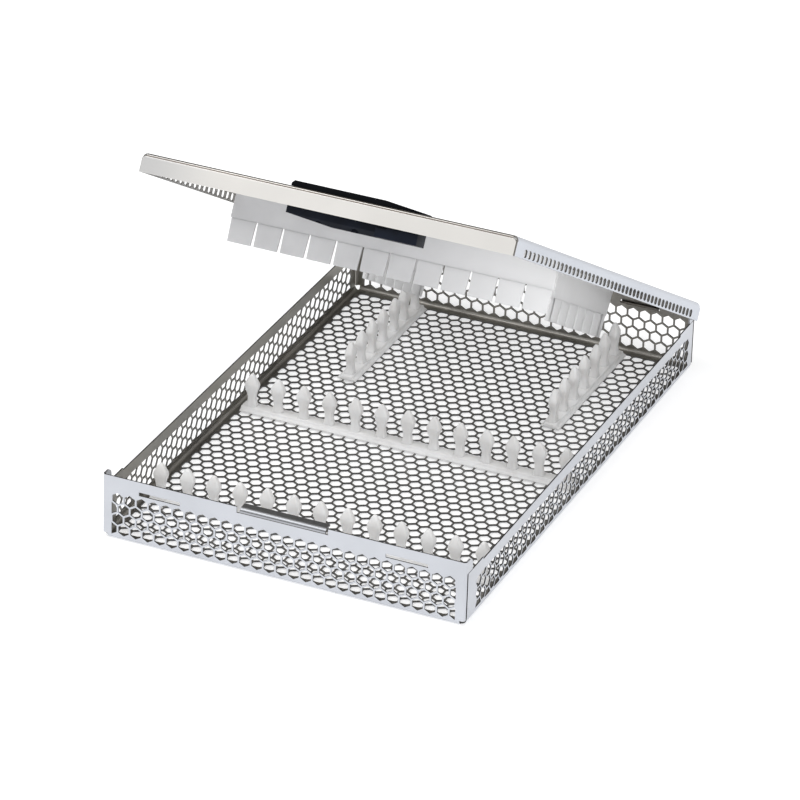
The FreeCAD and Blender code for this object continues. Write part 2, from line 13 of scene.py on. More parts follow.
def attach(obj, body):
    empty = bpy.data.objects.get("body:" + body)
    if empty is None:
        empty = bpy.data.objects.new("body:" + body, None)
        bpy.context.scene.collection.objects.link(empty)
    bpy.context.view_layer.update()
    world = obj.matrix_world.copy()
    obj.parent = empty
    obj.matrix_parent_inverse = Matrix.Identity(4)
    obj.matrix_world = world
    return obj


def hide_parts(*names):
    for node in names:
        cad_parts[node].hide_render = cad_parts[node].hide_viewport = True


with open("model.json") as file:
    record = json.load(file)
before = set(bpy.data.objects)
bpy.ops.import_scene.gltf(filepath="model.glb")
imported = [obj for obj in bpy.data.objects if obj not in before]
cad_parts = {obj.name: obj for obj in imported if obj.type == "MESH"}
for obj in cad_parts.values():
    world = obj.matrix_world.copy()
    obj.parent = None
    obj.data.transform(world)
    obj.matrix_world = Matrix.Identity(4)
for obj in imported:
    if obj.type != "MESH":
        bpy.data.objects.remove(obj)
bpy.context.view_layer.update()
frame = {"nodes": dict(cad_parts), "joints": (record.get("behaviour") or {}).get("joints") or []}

MM = 0.001
# Distance in metres under which two points are one
WELD = 1e-6
# Face attributes of painted shade: 1 on faces that look inwards, and 0 to 1 on cut edges, hole walls and
# bands of painted reflection
INNER_SHADE = "inner"
PAINTED_SHADE = "cut"
# Least share of a face's normal towards the heart at which the face looks inwards
INWARD = 0.02
# Where the clouds turn from the darker tint to the lighter
CLOUD_EDGES = (0.3, 0.7)
# Share of the grain, against the clouds, in how the roughness varies, and strength of its bumps
GRAIN_SHARE = 0.6
GRAIN_STRENGTH = 0.6
LOG = logging.getLogger("sterilizer_tray")
Point = tuple[float, float]
Triple = tuple[float, float, float]


class Body(Enum):
    """The bodies that pieces ride on."""

    TRAY = "tray"
    LID = "lid"
    LOCK = "lock"


class Slot(Enum):
    """The record's material slots."""

    STEEL = "sheet_steel"
    SILICONE = "silicone"
    PLASTIC = "lock_plastic"
    SCREW = "screw_steel"


class Value:
    """A shader socket that can be used in Python expressions."""

    def __init__(self, nodes: "NodeMaker", socket: bpy.types.NodeSocket) -> None:
        """Wrap an output socket.

        Args:
            nodes: the maker of the tree that the socket is in.
            socket: the output socket.
        """
        self.nodes = nodes
        self.socket = socket

    def _do(self, operation: str, a: object, b: object) -> "Value":
        """Add one Math node.

        Args:
            operation: the Math node's operation.
            a: first value, a socket or a number.
            b: second value, a socket or a number.

        Returns:
            The node's result.
        """
        node = self.nodes.add("ShaderNodeMath", {"operation": operation}, {0: a, 1: b})
        return Value(self.nodes, node.outputs[0])

    def __add__(self, other: object) -> "Value":
        """Sum."""
        return self._do("ADD", self, other)

    __radd__ = __add__

    def __sub__(self, other: object) -> "Value":
        """Difference."""
        return self._do("SUBTRACT", self, other)

    def __rsub__(self, other: object) -> "Value":
        """Difference, reflected."""
        return self._do("SUBTRACT", other, self)

    def __mul__(self, other: object) -> "Value":
        """Product."""
        return self._do("MULTIPLY", self, other)

    __rmul__ = __mul__

    def __truediv__(self, other: object) -> "Value":
        """Quotient."""
        return self._do("DIVIDE", self, other)

    def ramp(self, low: float, high: float) -> "Value":
        """Rise smoothly from 0 at low to 1 at high.

        Args:
            low: the value that gives 0.
            high: the value that gives 1.

        Returns:
            The mapped value.
        """
        node = self.nodes.add("ShaderNodeMapRange", {"interpolation_type": "SMOOTHSTEP"},
                              {"Value": self, "From Min": low, "From Max": high})
        return Value(self.nodes, node.outputs[0])


class NodeMaker:
    """Adds nodes to one tree."""

    def __init__(self, tree: bpy.types.NodeTree) -> None:
        """Start on a tree.

        Args:
            tree: a shader or geometry node tree.
        """
        self.tree = tree

    def add(self, kind: str, settings: dict | None = None, inputs: dict | None = None) -> bpy.types.Node:
        """Add a node, set it up and feed its sockets.

        Args:
            kind: the node's type.
            settings: attributes, set first.
            inputs: socket name or index to a number, a colour, a Value or an output socket.

        Returns:
            The new node.
        """
        node = self.tree.nodes.new(kind)
        for name, value in (settings or {}).items():
            setattr(node, name, value)
        for name, value in (inputs or {}).items():
            if isinstance(value, Value):
                self.tree.links.new(value.socket, node.inputs[name])
            elif isinstance(value, bpy.types.NodeSocket):
                self.tree.links.new(value, node.inputs[name])
            else:
                node.inputs[name].default_value = value
        return node

    def noise(self, scale: float, detail: float = 2.0, stretch: Triple = (1.0, 1.0, 1.0)) -> Value:
        """Noise on Object coordinates.

        Args:
            scale: features per metre.
            detail: octaves.
            stretch: factors on the three coordinates.

        Returns:
            A value round a half.
        """
        place = self.add("ShaderNodeTexCoord")
        mapping = self.add("ShaderNodeMapping", None,
                           {"Vector": place.outputs["Object"], "Scale": stretch})
        node = self.add("ShaderNodeTexNoise", None,
                        {"Vector": mapping.outputs[0], "Scale": scale, "Detail": detail})
        return Value(self, node.outputs[0])

    def attribute(self, name: str) -> Value:
        """Number that is written on the faces under a name."""
        return Value(self, self.add("ShaderNodeAttribute", {"attribute_name": name}).outputs["Fac"])

    def along_x(self) -> Value:
        """Place along X, in metres."""
        place = self.add("ShaderNodeTexCoord").outputs["Object"]
        return Value(self, self.add("ShaderNodeSeparateXYZ", None, {0: place}).outputs["X"])

    def mix(self, factor: Value, low: object, high: object) -> bpy.types.NodeSocket:
        """Blend two colours.

        Args:
            factor: 0 for low, 1 for high.
            low: first colour, three numbers or a socket.
            high: second colour, three numbers or a socket.

        Returns:
            The blended colour's socket.
        """
        ends = [(*end, 1.0) if isinstance(end, tuple) else end for end in (low, high)]
        node = self.add("ShaderNodeMix", {"data_type": "RGBA"}, {0: factor, 6: ends[0], 7: ends[1]})
        return node.outputs[2]


@dataclass(frozen=True)
class Finish:
    """A surface finish with two tints, worn unevenly, and tints of painted shade.

    Args:
        name: the material's name.
        slot: the record's material slot.
        light: lighter tint.
        dark: darker tint.
        roughness: middle roughness.
        roughness_swing: how far the roughness varies.
        metallic: 0 or 1.
        patch_scale: cloudiness, features per metre.
        grain_scale: fine grain, features per metre.
        grain_stretch: stretch of the grain along the three directions.
        grain_depth: depth of the grain in millimetres.
        settings: constants set on the shader's own sockets.
        inner: lighter and darker tint painted as shade on faces that look into the tray or the lid.
        cut: tint painted as shade on the sheet's cut edges and hole walls, and as the dark of painted
            reflection bands.
        fade: where along X a fade to a lighter or darker tint starts and ends, in metres, and its tint at
            the end.
    """

    name: str
    slot: Slot
    light: Triple
    dark: Triple
    roughness: float
    roughness_swing: float
    metallic: float
    patch_scale: float
    grain_scale: float
    grain_stretch: Triple = (1.0, 1.0, 1.0)
    grain_depth: float = 0.01
    settings: tuple[tuple[str, object], ...] = ()
    inner: tuple[Triple, Triple] | None = None
    cut: Triple | None = None
    fade: tuple[float, float, Triple] | None = None

    def tint(self, nodes: NodeMaker, cloud: Value) -> bpy.types.NodeSocket:
        """Colour with its clouds, its fade, its painted shade on inner faces and its painted shade on cut
        edges and bands.

        Args:
            nodes: maker of the material's tree.
            cloud: 0 for the darker tint, 1 for the lighter.

        Returns:
            The colour's socket.
        """
        colour = nodes.mix(cloud, self.dark, self.light)
        # The fade paints the colour lighter or darker along X
        if self.fade is not None:
            start, end, faded = self.fade
            share = (nodes.along_x() - start) / (end - start)
            colour = nodes.mix(share.ramp(0.0, 1.0), colour, faded)
        # Faces that look inwards get tints painted as the shade inside the tray or the lid
        if self.inner is not None:
            light, dark = self.inner
            colour = nodes.mix(nodes.attribute(INNER_SHADE), colour, nodes.mix(cloud, dark, light))
        # Cut edges, hole walls and bands get the cut tint, painted as shade and as dark reflection
        if self.cut is not None:
            colour = nodes.mix(nodes.attribute(PAINTED_SHADE), colour, self.cut)
        return colour

    def material(self) -> bpy.types.Material:
        """Make the material, or return the one made before.

        Returns:
            The material.
        """
        made = bpy.data.materials.get(self.name)
        if made is not None:
            return made
        made = bpy.data.materials.new(self.name)
        made.use_nodes = True
        made.node_tree.nodes.clear()
        nodes = NodeMaker(made.node_tree)
        cloud = nodes.noise(self.patch_scale, 3.0).ramp(*CLOUD_EDGES)
        grain = nodes.noise(self.grain_scale, 2.0, self.grain_stretch)
        wear = grain * GRAIN_SHARE + cloud * (1.0 - GRAIN_SHARE) - 0.5
        bump = nodes.add("ShaderNodeBump", None,
                         {"Strength": GRAIN_STRENGTH, "Distance": self.grain_depth * MM, "Height": grain})
        shader = nodes.add("ShaderNodeBsdfPrincipled", None, {
            "Base Color": self.tint(nodes, cloud), "Metallic": self.metallic,
            "Roughness": self.roughness + wear * self.roughness_swing, "Normal": bump.outputs[0]})
        for name, value in self.settings:
            shader.inputs[name].default_value = value
        nodes.add("ShaderNodeOutputMaterial", None, {"Surface": shader.outputs[0]})
        return made


# The sheets' inner tints are painted shade on faces that look into the tray, and the cut tint is painted
# shade on cut edges and hole walls
SHEET = Finish(
    name="satin sheet steel", slot=Slot.STEEL, light=(0.565, 0.582, 0.62), dark=(0.515, 0.53, 0.565),
    roughness=0.32, roughness_swing=0.10, metallic=1.0, patch_scale=28.0, grain_scale=2600.0,
    grain_stretch=(1.0, 0.25, 1.0), grain_depth=0.006,
    inner=((0.38, 0.365, 0.335), (0.29, 0.28, 0.26)), cut=(0.11, 0.108, 0.106))
# A darker copy of the sheet steel for the floor: painted shade and painted dark reflection, with darker
# painted shade inside
SHADED_FLOOR_SHEET = replace(
    SHEET, name="shaded floor steel", light=(0.42, 0.43, 0.45), dark=(0.37, 0.38, 0.40), roughness=0.30,
    inner=((0.30, 0.29, 0.27), (0.22, 0.214, 0.20)), cut=(0.075, 0.075, 0.077))
# The lid's inner tints are painted shade on its underside, and its cut tint is painted shade on cut edges
# and hole walls
LID_SHEET = replace(
    SHEET, name="satin lid steel", light=(0.565, 0.59, 0.64), dark=(0.515, 0.54, 0.59),
    patch_scale=24.0, grain_stretch=(1.0, 0.25, 0.25),
    inner=((0.58, 0.57, 0.55), (0.50, 0.49, 0.475)), cut=(0.24, 0.232, 0.22))
# The front flange's cream tint is a painted reflection of warm light; its cut tint is used for painted
# bands on its bend, and it turns darker towards the left end
FRONT_FLANGE = replace(
    SHEET, name="bright flange steel", light=(0.84, 0.815, 0.775), dark=(0.79, 0.768, 0.73),
    roughness=0.30, roughness_swing=0.06, patch_scale=20.0, grain_scale=2400.0,
    grain_stretch=(0.2, 1.0, 1.0), grain_depth=0.002,
    inner=None, cut=(0.08, 0.062, 0.05), fade=(-0.045, -0.093, (0.60, 0.595, 0.585)))
# Near-black tint painted on the hinge hooks as the shadow in the back wall's slots
SHADED_HOOK = replace(
    SHEET, name="shaded hook steel", light=(0.11, 0.10, 0.088), dark=(0.07, 0.064, 0.056),
    roughness=0.36, patch_scale=40.0, grain_stretch=(1.0, 1.0, 1.0), grain_depth=0.004,
    inner=None, cut=None)
SCREW = Finish(
    name="plain screw steel", slot=Slot.SCREW, light=(0.60, 0.60, 0.61), dark=(0.48, 0.48, 0.50),
    roughness=0.30, roughness_swing=0.12, metallic=1.0, patch_scale=300.0, grain_scale=3000.0)
SILICONE = Finish(
    name="milky silicone", slot=Slot.SILICONE, light=(0.94, 0.935, 0.93), dark=(0.86, 0.85, 0.84),
    roughness=0.46, roughness_swing=0.10, metallic=0.0, patch_scale=90.0, grain_scale=2200.0,
    grain_depth=0.02, settings=(("Subsurface Weight", 0.30), ("Subsurface Scale", 0.003),
                                ("Subsurface Radius", (1.0, 0.95, 0.9)), ("IOR", 1.42)))
FLAP = replace(
    SILICONE, name="clear silicone strip", light=(0.955, 0.955, 0.965), dark=(0.91, 0.91, 0.92),
    roughness=0.50, patch_scale=70.0,
    settings=(("Subsurface Weight", 0.45), ("Subsurface Scale", 0.004),
              ("Subsurface Radius", (1.0, 0.98, 0.97)), ("IOR", 1.42)))
# A darker copy of the comb silicone, painted shade on the front comb, turning lighter towards the right
SHADED_FRONT_FLAP = replace(
    FLAP, name="grey silicone strip", light=(0.66, 0.66, 0.67), dark=(0.61, 0.61, 0.62),
    fade=(-0.01, 0.085, (0.95, 0.95, 0.96)))
PLASTIC = Finish(
    name="dark blue lock plastic", slot=Slot.PLASTIC, light=(0.009, 0.012, 0.021),
    dark=(0.006, 0.008, 0.013), roughness=0.42, roughness_swing=0.12, metallic=0.0,
    patch_scale=120.0, grain_scale=4200.0, grain_depth=0.02,
    settings=(("IOR", 1.3), ("Specular IOR Level", 0.22)))
GRIP = replace(
    PLASTIC, name="black lock plastic", light=(0.0045, 0.005, 0.0065), dark=(0.003, 0.0034, 0.0045),
    roughness=0.50, settings=(("IOR", 1.3), ("Specular IOR Level", 0.08)))


@dataclass
class Hinge:
    """The lid's axis and how far the lid stands open at rest."""

    joint: dict

    @property
    def open_angle(self) -> float:
        """Angle from closed to rest, in radians."""
        return -math.radians(self.joint["range_deg"][0])

    def opened(self) -> Matrix:
        """Work out where the lid is at rest.

        Returns:
            The matrix that takes closed lid coordinates to the rest pose.
        """
        place = Matrix.Translation(Vector(self.joint["pos_m"]))
        turn = Matrix.Rotation(self.open_angle, 4, Vector(self.joint["axis"]))
        return place @ turn @ place.inverted()


HINGE = Hinge(next(joint for joint in frame["joints"] if joint["name"] == "lid_hinge"))


class Maker:
    """Turns mesh data into finished pieces."""

    @staticmethod
    def evaluated(obj: bpy.types.Object) -> bpy.types.Mesh:
        """Plain mesh of an object with its modifiers; the object is then removed.

        Args:
            obj: the object to evaluate.

        Returns:
            A new mesh.
        """
        bpy.context.view_layer.update()
        graph = bpy.context.evaluated_depsgraph_get()
        mesh = bpy.data.meshes.new_from_object(obj.evaluated_get(graph))
        bpy.data.objects.remove(obj)
        return mesh

    @staticmethod
    def linked(name: str, mesh: bpy.types.Mesh) -> bpy.types.Object:
        """Object in the scene with a mesh.

        Args:
            name: the object's name.
            mesh: its mesh.

        Returns:
            The object.
        """
        obj = bpy.data.objects.new(name, mesh)
        bpy.context.scene.collection.objects.link(obj)
        return obj

    @classmethod
    def bevelled(cls, mesh: bpy.types.Mesh, width: float, segments: int = 2) -> bpy.types.Mesh:
        """The mesh with its sharp edges rounded.

        Args:
            mesh: a closed mesh.
            width: width of the rounding in millimetres.
            segments: faces across it.

        Returns:
            A new mesh.
        """
        obj = cls.linked("rounding", mesh)
        modifier = obj.modifiers.new("rounding", "BEVEL")
        modifier.width = width * MM
        modifier.segments = segments
        modifier.limit_method = "ANGLE"
        modifier.angle_limit = math.radians(35)
        modifier.use_clamp_overlap = True
        return cls.evaluated(obj)

    @classmethod
    def thickened(cls, mesh: bpy.types.Mesh, thickness: float) -> bpy.types.Mesh:
        """A flat mesh given a thickness along its normals.

        Args:
            mesh: a flat mesh with its faces one way.
            thickness: in millimetres.

        Returns:
            A new closed mesh.
        """
        obj = cls.linked("sheet", mesh)
        modifier = obj.modifiers.new("sheet", "SOLIDIFY")
        modifier.thickness = thickness * MM
        modifier.offset = 1.0
        return cls.evaluated(obj)

    @staticmethod
    def stand_up(panel: bpy.types.Mesh, face: float, right: bool) -> None:
        """Stand a flat panel up at one side, its X along Y and its Y along Z.

        Args:
            panel: a sheet in the XY plane.
            face: distance of its inner face from the middle, in millimetres.
            right: True for the right side.
        """
        sign = 1.0 if right else -1.0
        panel.transform(Matrix(((0, 0, sign, face * MM * sign), (1, 0, 0, 0), (0, 1, 0, 0),
                                (0, 0, 0, 1))))
        if not right:
            panel.flip_normals()

    @staticmethod
    def mark(mesh: bpy.types.Mesh, name: str, values: list[float]) -> None:
        """Write a number on every face of a mesh.

        Args:
            mesh: the mesh.
            name: the attribute's name.
            values: one number per face.
        """
        old = mesh.attributes.get(name)
        if old is not None:
            mesh.attributes.remove(old)
        mesh.attributes.new(name, "FLOAT", "FACE").data.foreach_set("value", values)

    @staticmethod
    def painted_shades(mesh: bpy.types.Mesh) -> list[float]:
        """Read the painted shade on a mesh's faces, on cut edges and in bands.

        Args:
            mesh: the mesh.

        Returns:
            One number per face, 1 for the full painted shade of a cut edge.
        """
        old = mesh.attributes.get(PAINTED_SHADE)
        if old is None:
            return [0.0] * len(mesh.polygons)
        values = [0.0] * len(mesh.polygons)
        old.data.foreach_get("value", values)
        return values

    @classmethod
    def piece(cls, name: str, meshes: list[bpy.types.Mesh], body: Body, finish: Finish,
              node: str, place: Matrix | None = None, smooth: float = 32.0,
              heart: Vector | None = None) -> bpy.types.Object:
        """Join meshes into one finished piece that rides on a body.

        Args:
            name: the piece's name.
            meshes: its meshes, in metres.
            body: what it rides on.
            finish: its surface.
            node: the CAD node that it stands for.
            place: matrix applied to the mesh.
            smooth: edges flatter than this angle, in degrees, are shaded smooth.
            heart: point inside the tray or the lid, in metres; faces that look at it get painted inner
                shade.

        Returns:
            The piece.
        """
        joined, shade_values = bmesh.new(), []
        for mesh in meshes:
            joined.from_mesh(mesh)
            shade_values += cls.painted_shades(mesh)
            bpy.data.meshes.remove(mesh)
        if place is not None:
            joined.transform(place)
        mesh = bpy.data.meshes.new(name)
        joined.to_mesh(mesh)
        joined.free()
        mesh.materials.clear()
        mesh.materials.append(finish.material())
        for face in mesh.polygons:
            face.use_smooth = True
            face.material_index = 0
        mesh.set_sharp_from_angle(angle=math.radians(smooth))
        # Shade painted on cut edges, hole walls and bands
        if finish.cut is not None:
            cls.mark(mesh, PAINTED_SHADE, shade_values)
        # Faces that look towards the heart are marked for painted inner shade
        if heart is not None:
            inward = [face.normal.dot((heart - face.center).normalized()) for face in mesh.polygons]
            cls.mark(mesh, INNER_SHADE, [1.0 if share > INWARD else 0.0 for share in inward])
        obj = cls.linked(name, mesh)
        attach(obj, body.value)
        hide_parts(node)
        LOG.info("%s: %d faces", name, len(mesh.polygons))
        return obj

    @staticmethod
    def node_copy(node: str) -> bpy.types.Mesh:
        """Welded copy of a CAD node's mesh, with flat faces made whole.

        Args:
            node: the node's name.

        Returns:
            A new mesh.
        """
        work = bmesh.new()
        work.from_mesh(frame["nodes"][node].data)
        bmesh.ops.remove_doubles(work, verts=work.verts, dist=WELD)
        bmesh.ops.dissolve_limit(work, angle_limit=math.radians(2), verts=work.verts,
                                 edges=work.edges)
        mesh = bpy.data.meshes.new(node)
        work.to_mesh(mesh)
        work.free()
        return mesh

    @staticmethod
    def loft(rings: list[list[Triple]]) -> bpy.types.Mesh:
        """Closed mesh through rings of points, with both ends capped.

        Args:
            rings: loops with equal counts, in millimetres.

        Returns:
            A new mesh.
        """
        work = bmesh.new()
        loops = [[work.verts.new(Vector(point) * MM) for point in ring] for ring in rings]
        count = len(loops[0])
        for low, high in zip(loops, loops[1:]):
            for index in range(count):
                after = (index + 1) % count
                work.faces.new((low[index], low[after], high[after], high[index]))
        work.faces.new(loops[0])
        work.faces.new(loops[-1])
        bmesh.ops.recalc_face_normals(work, faces=work.faces)
        mesh = bpy.data.meshes.new("loft")
        work.to_mesh(mesh)
        work.free()
        return mesh

    @classmethod
    def prism(cls, outline: list[Point], low: float, high: float, axes: str = "XZY") -> bpy.types.Mesh:
        """Straight prism over an outline.

        Args:
            outline: corners in millimetres.
            low: start along the third axis.
            high: end along the third axis.
            axes: the axes of the outline's two numbers and of the run, such as XZY.

        Returns:
            A new mesh.
        """
        order = ["XYZ".index(letter) for letter in axes]
        rings = []
        for level in (low, high):
            ring = []
            for u, v in outline:
                point = [0.0, 0.0, 0.0]
                for axis, number in zip(order, (u, v, level)):
                    point[axis] = number
                ring.append(tuple(point))
            rings.append(ring)
        return cls.loft(rings)

    @classmethod
    def bend(cls, centre: Point, start: float, sweep: float, outer: float, sheet: float,
             low: float, high: float, axes: str, steps: int = 10) -> bpy.types.Mesh:
        """Bent strip of sheet.

        Args:
            centre: the bend's centre in the plane of the first two axes.
            start: first angle in degrees.
            sweep: angle turned through.
            outer: outer radius.
            sheet: sheet thickness.
            low: start along the third axis.
            high: end along the third axis.
            axes: as in prism.
            steps: flats round the bend.

        Returns:
            A new mesh.
        """
        angles = [math.radians(start + sweep * step / steps) for step in range(steps + 1)]
        outside, inside = ([(centre[0] + radius * math.cos(angle), centre[1] + radius * math.sin(angle))
                            for angle in angles] for radius in (outer, outer - sheet))
        made = cls.prism(outside + inside[::-1], low, high, axes)
        # The bend's cut ends are marked for painted shade
        cls.mark(made, PAINTED_SHADE, [1.0 if face.loop_total > 4 else 0.0 for face in made.polygons])
        return made


@dataclass
class CarriedNode:
    """A CAD node that is shown as it is, with a finish."""

    node: str
    finish: Finish

    def dress(self) -> None:
        """Give the node its finish."""
        mesh = frame["nodes"][self.node].data
        mesh.materials.clear()
        mesh.materials.append(self.finish.material())
        LOG.info("%s: carried over", self.node)


@dataclass(frozen=True)
class Strip:
    """Plan of one finger bar or comb strip, in millimetres.

    Args:
        node: the CAD node that it stands for.
        count: number of fingers or flaps.
        pitch: their spacing.
        centre: the strip's middle.
        turned: True where it runs from front to back.
        finish: its surface.
        studs: places of a comb's studs, in flaps from the middle.
        margin: how far both ends of a comb reach past the outer flaps.
        slant: how much farther a comb's rear end reaches at the top.
    """

    node: str
    count: int
    pitch: float
    centre: Point
    turned: bool
    finish: Finish
    studs: tuple[float, ...] = ()
    margin: float = 0.0
    slant: float = 0.0

    def place(self, height: float = 0.0) -> Matrix:
        """Work out where the strip stands.

        Args:
            height: of the strip's own zero.

        Returns:
            The matrix from the strip's own coordinates.
        """
        turn = Matrix.Rotation(math.radians(90 if self.turned else 0), 4, "Z")
        return Matrix.Translation(Vector((*self.centre, height)) * MM) @ turn


class Recipe:
    """A Geometry Nodes tree with named inputs."""

    def __init__(self, name: str, inputs: dict[str, str]) -> None:
        """Start a tree.

        Args:
            name: the tree's name.
            inputs: input names to socket types.
        """
        self.tree = bpy.data.node_groups.new(name, "GeometryNodeTree")
        self.tree.is_modifier = True
        self.identifiers = {
            label: self.tree.interface.new_socket(name=label, in_out="INPUT", socket_type=kind).identifier
            for label, kind in inputs.items()}
        self.tree.interface.new_socket(name="Geometry", in_out="OUTPUT", socket_type="NodeSocketGeometry")
        self.nodes = NodeMaker(self.tree)
        self.given = self.nodes.add("NodeGroupInput")

    def value(self, label: str) -> bpy.types.NodeSocket:
        """Output socket of a named input."""
        return self.given.outputs[label]

    def math(self, operation: str, a: object, b: object) -> bpy.types.NodeSocket:
        """Result of one Math node."""
        return self.nodes.add("ShaderNodeMath", {"operation": operation}, {0: a, 1: b}).outputs[0]

    def vector(self, x: object = 0.0, y: object = 0.0, z: object = 0.0) -> bpy.types.NodeSocket:
        """Vector from three numbers or sockets."""
        return self.nodes.add("ShaderNodeCombineXYZ", None, {0: x, 1: y, 2: z}).outputs[0]

    def close(self, geometry: bpy.types.NodeSocket, finish: bpy.types.NodeSocket) -> None:
        """End the tree in Realize Instances and Set Material.

        Args:
            geometry: what the tree made.
            finish: socket of the material input.
        """
        real = self.nodes.add("GeometryNodeRealizeInstances", None, {"Geometry": geometry})
        welded = self.nodes.add("GeometryNodeMergeByDistance", None,
                                {"Geometry": real.outputs[0], "Distance": WELD})
        dressed = self.nodes.add("GeometryNodeSetMaterial", None,
                                 {"Geometry": welded.outputs[0], "Material": finish})
        self.nodes.add("NodeGroupOutput", None, {"Geometry": dressed.outputs[0]})

    def run(self, values: dict[str, object]) -> bpy.types.Mesh:
        """Make the tree's mesh.

        Args:
            values: input names to values.

        Returns:
            A plain mesh.
        """
        obj = Maker.linked(self.tree.name, bpy.data.meshes.new(self.tree.name))
        modifier = obj.modifiers.new(self.tree.name, "NODES")
        modifier.node_group = self.tree
        for label, value in values.items():
            modifier[self.identifiers[label]] = value
        return Maker.evaluated(obj)


class WebRecipe(Recipe):
    """Staggered hexagonal web: one ring of sheet round each hole."""

    def __init__(self) -> None:
        """Build the tree."""
        super().__init__("hexagonal web", {
            "Pitch": "NodeSocketFloat", "Hole": "NodeSocketFloat", "Columns": "NodeSocketInt",
            "Rows": "NodeSocketInt", "Finish": "NodeSocketMaterial"})
        pitch = self.value("Pitch")
        row_step = self.math("MULTIPLY", pitch, math.sqrt(3) / 2)
        rows = self.nodes.add("GeometryNodeMeshLine", {"mode": "OFFSET"}, {
            "Count": self.value("Rows"), "Offset": self.vector(y=row_step)})
        index = self.nodes.add("GeometryNodeInputIndex").outputs[0]
        odd = self.math("MODULO", index, 2.0)
        shift = self.math("MULTIPLY", self.math("MULTIPLY", odd, pitch), 0.5)
        staggered = self.nodes.add("GeometryNodeSetPosition", None, {
            "Geometry": rows.outputs[0], "Offset": self.vector(x=shift)})
        columns = self.nodes.add("GeometryNodeMeshLine", {"mode": "OFFSET"}, {
            "Count": self.value("Columns"), "Offset": self.vector(x=pitch)})
        lines = self.nodes.add("GeometryNodeInstanceOnPoints", None, {
            "Points": staggered.outputs[0], "Instance": columns.outputs[0]})
        points = self.nodes.add("GeometryNodeRealizeInstances", None, {"Geometry": lines.outputs[0]})
        cells = self.nodes.add("GeometryNodeInstanceOnPoints", None, {
            "Points": points.outputs[0], "Instance": self.cell(pitch)})
        self.close(cells.outputs[0], self.value("Finish"))

    def cell(self, pitch: bpy.types.NodeSocket) -> bpy.types.NodeSocket:
        """One hexagonal ring of sheet.

        Args:
            pitch: socket of the hole spacing.

        Returns:
            The ring's geometry socket.
        """
        radius = self.math("DIVIDE", pitch, math.sqrt(3))
        disc = self.nodes.add("GeometryNodeMeshCircle", {"fill_type": "NGON"},
                              {"Vertices": 6, "Radius": radius})
        raised = self.nodes.add("GeometryNodeExtrudeMesh", {"mode": "FACES"},
                                {"Mesh": disc.outputs[0], "Offset Scale": 0.0})
        where = self.nodes.add("GeometryNodeInputPosition").outputs[0]
        share = self.math("DIVIDE", self.value("Hole"), pitch)
        shrunk = self.nodes.add("ShaderNodeVectorMath", {"operation": "SCALE"},
                                {0: where, "Scale": share})
        inner = self.nodes.add("GeometryNodeSetPosition", None, {
            "Geometry": raised.outputs["Mesh"], "Selection": raised.outputs["Top"],
            "Position": shrunk.outputs[0]})
        ring = self.nodes.add("GeometryNodeDeleteGeometry", {"domain": "FACE", "mode": "ONLY_FACE"}, {
            "Geometry": inner.outputs[0], "Selection": raised.outputs["Top"]})
        turned = self.nodes.add("GeometryNodeTransform", None, {
            "Geometry": ring.outputs[0], "Rotation": (0.0, 0.0, math.radians(30))})
        return turned.outputs[0]


class RowRecipe(Recipe):
    """Copies of one shape in a straight row, each leaning a little its own way."""

    def __init__(self) -> None:
        """Build the tree."""
        super().__init__("row of copies", {
            "Shape": "NodeSocketObject", "Count": "NodeSocketInt", "Pitch": "NodeSocketFloat",
            "Lean": "NodeSocketFloat", "Seed": "NodeSocketInt", "Finish": "NodeSocketMaterial"})
        pitch = self.value("Pitch")
        count = self.value("Count")
        reach = self.math("MULTIPLY", self.math("SUBTRACT", count, 1.0), pitch)
        start = self.math("MULTIPLY", reach, -0.5)
        line = self.nodes.add("GeometryNodeMeshLine", {"mode": "OFFSET"}, {
            "Count": count, "Start Location": self.vector(x=start), "Offset": self.vector(x=pitch)})
        shape = self.nodes.add("GeometryNodeObjectInfo", None, {"Object": self.value("Shape")})
        lean = self.nodes.add("FunctionNodeRandomValue", {"data_type": "FLOAT"}, {
            2: self.math("MULTIPLY", self.value("Lean"), -1.0), 3: self.value("Lean"),
            "Seed": self.value("Seed")})
        copies = self.nodes.add("GeometryNodeInstanceOnPoints", None, {
            "Points": line.outputs[0], "Instance": shape.outputs["Geometry"],
            "Rotation": self.vector(x=lean.outputs[1])})
        self.close(copies.outputs[0], self.value("Finish"))

    def row(self, shape: bpy.types.Mesh, count: int, pitch: float, finish: Finish,
            lean: float = 0.0, seed: int = 0) -> bpy.types.Mesh:
        """Row of copies centred on the origin, along X.

        Args:
            shape: what is repeated.
            count: how many.
            pitch: spacing in millimetres.
            finish: its surface.
            lean: most that a copy leans, in degrees.
            seed: seed of the leaning.

        Returns:
            A plain mesh.
        """
        source = Maker.linked("shape", shape)
        mesh = self.run({"Shape": source, "Count": count, "Pitch": pitch * MM,
                         "Lean": math.radians(lean), "Seed": seed, "Finish": finish.material()})
        bpy.data.objects.remove(source)
        return mesh


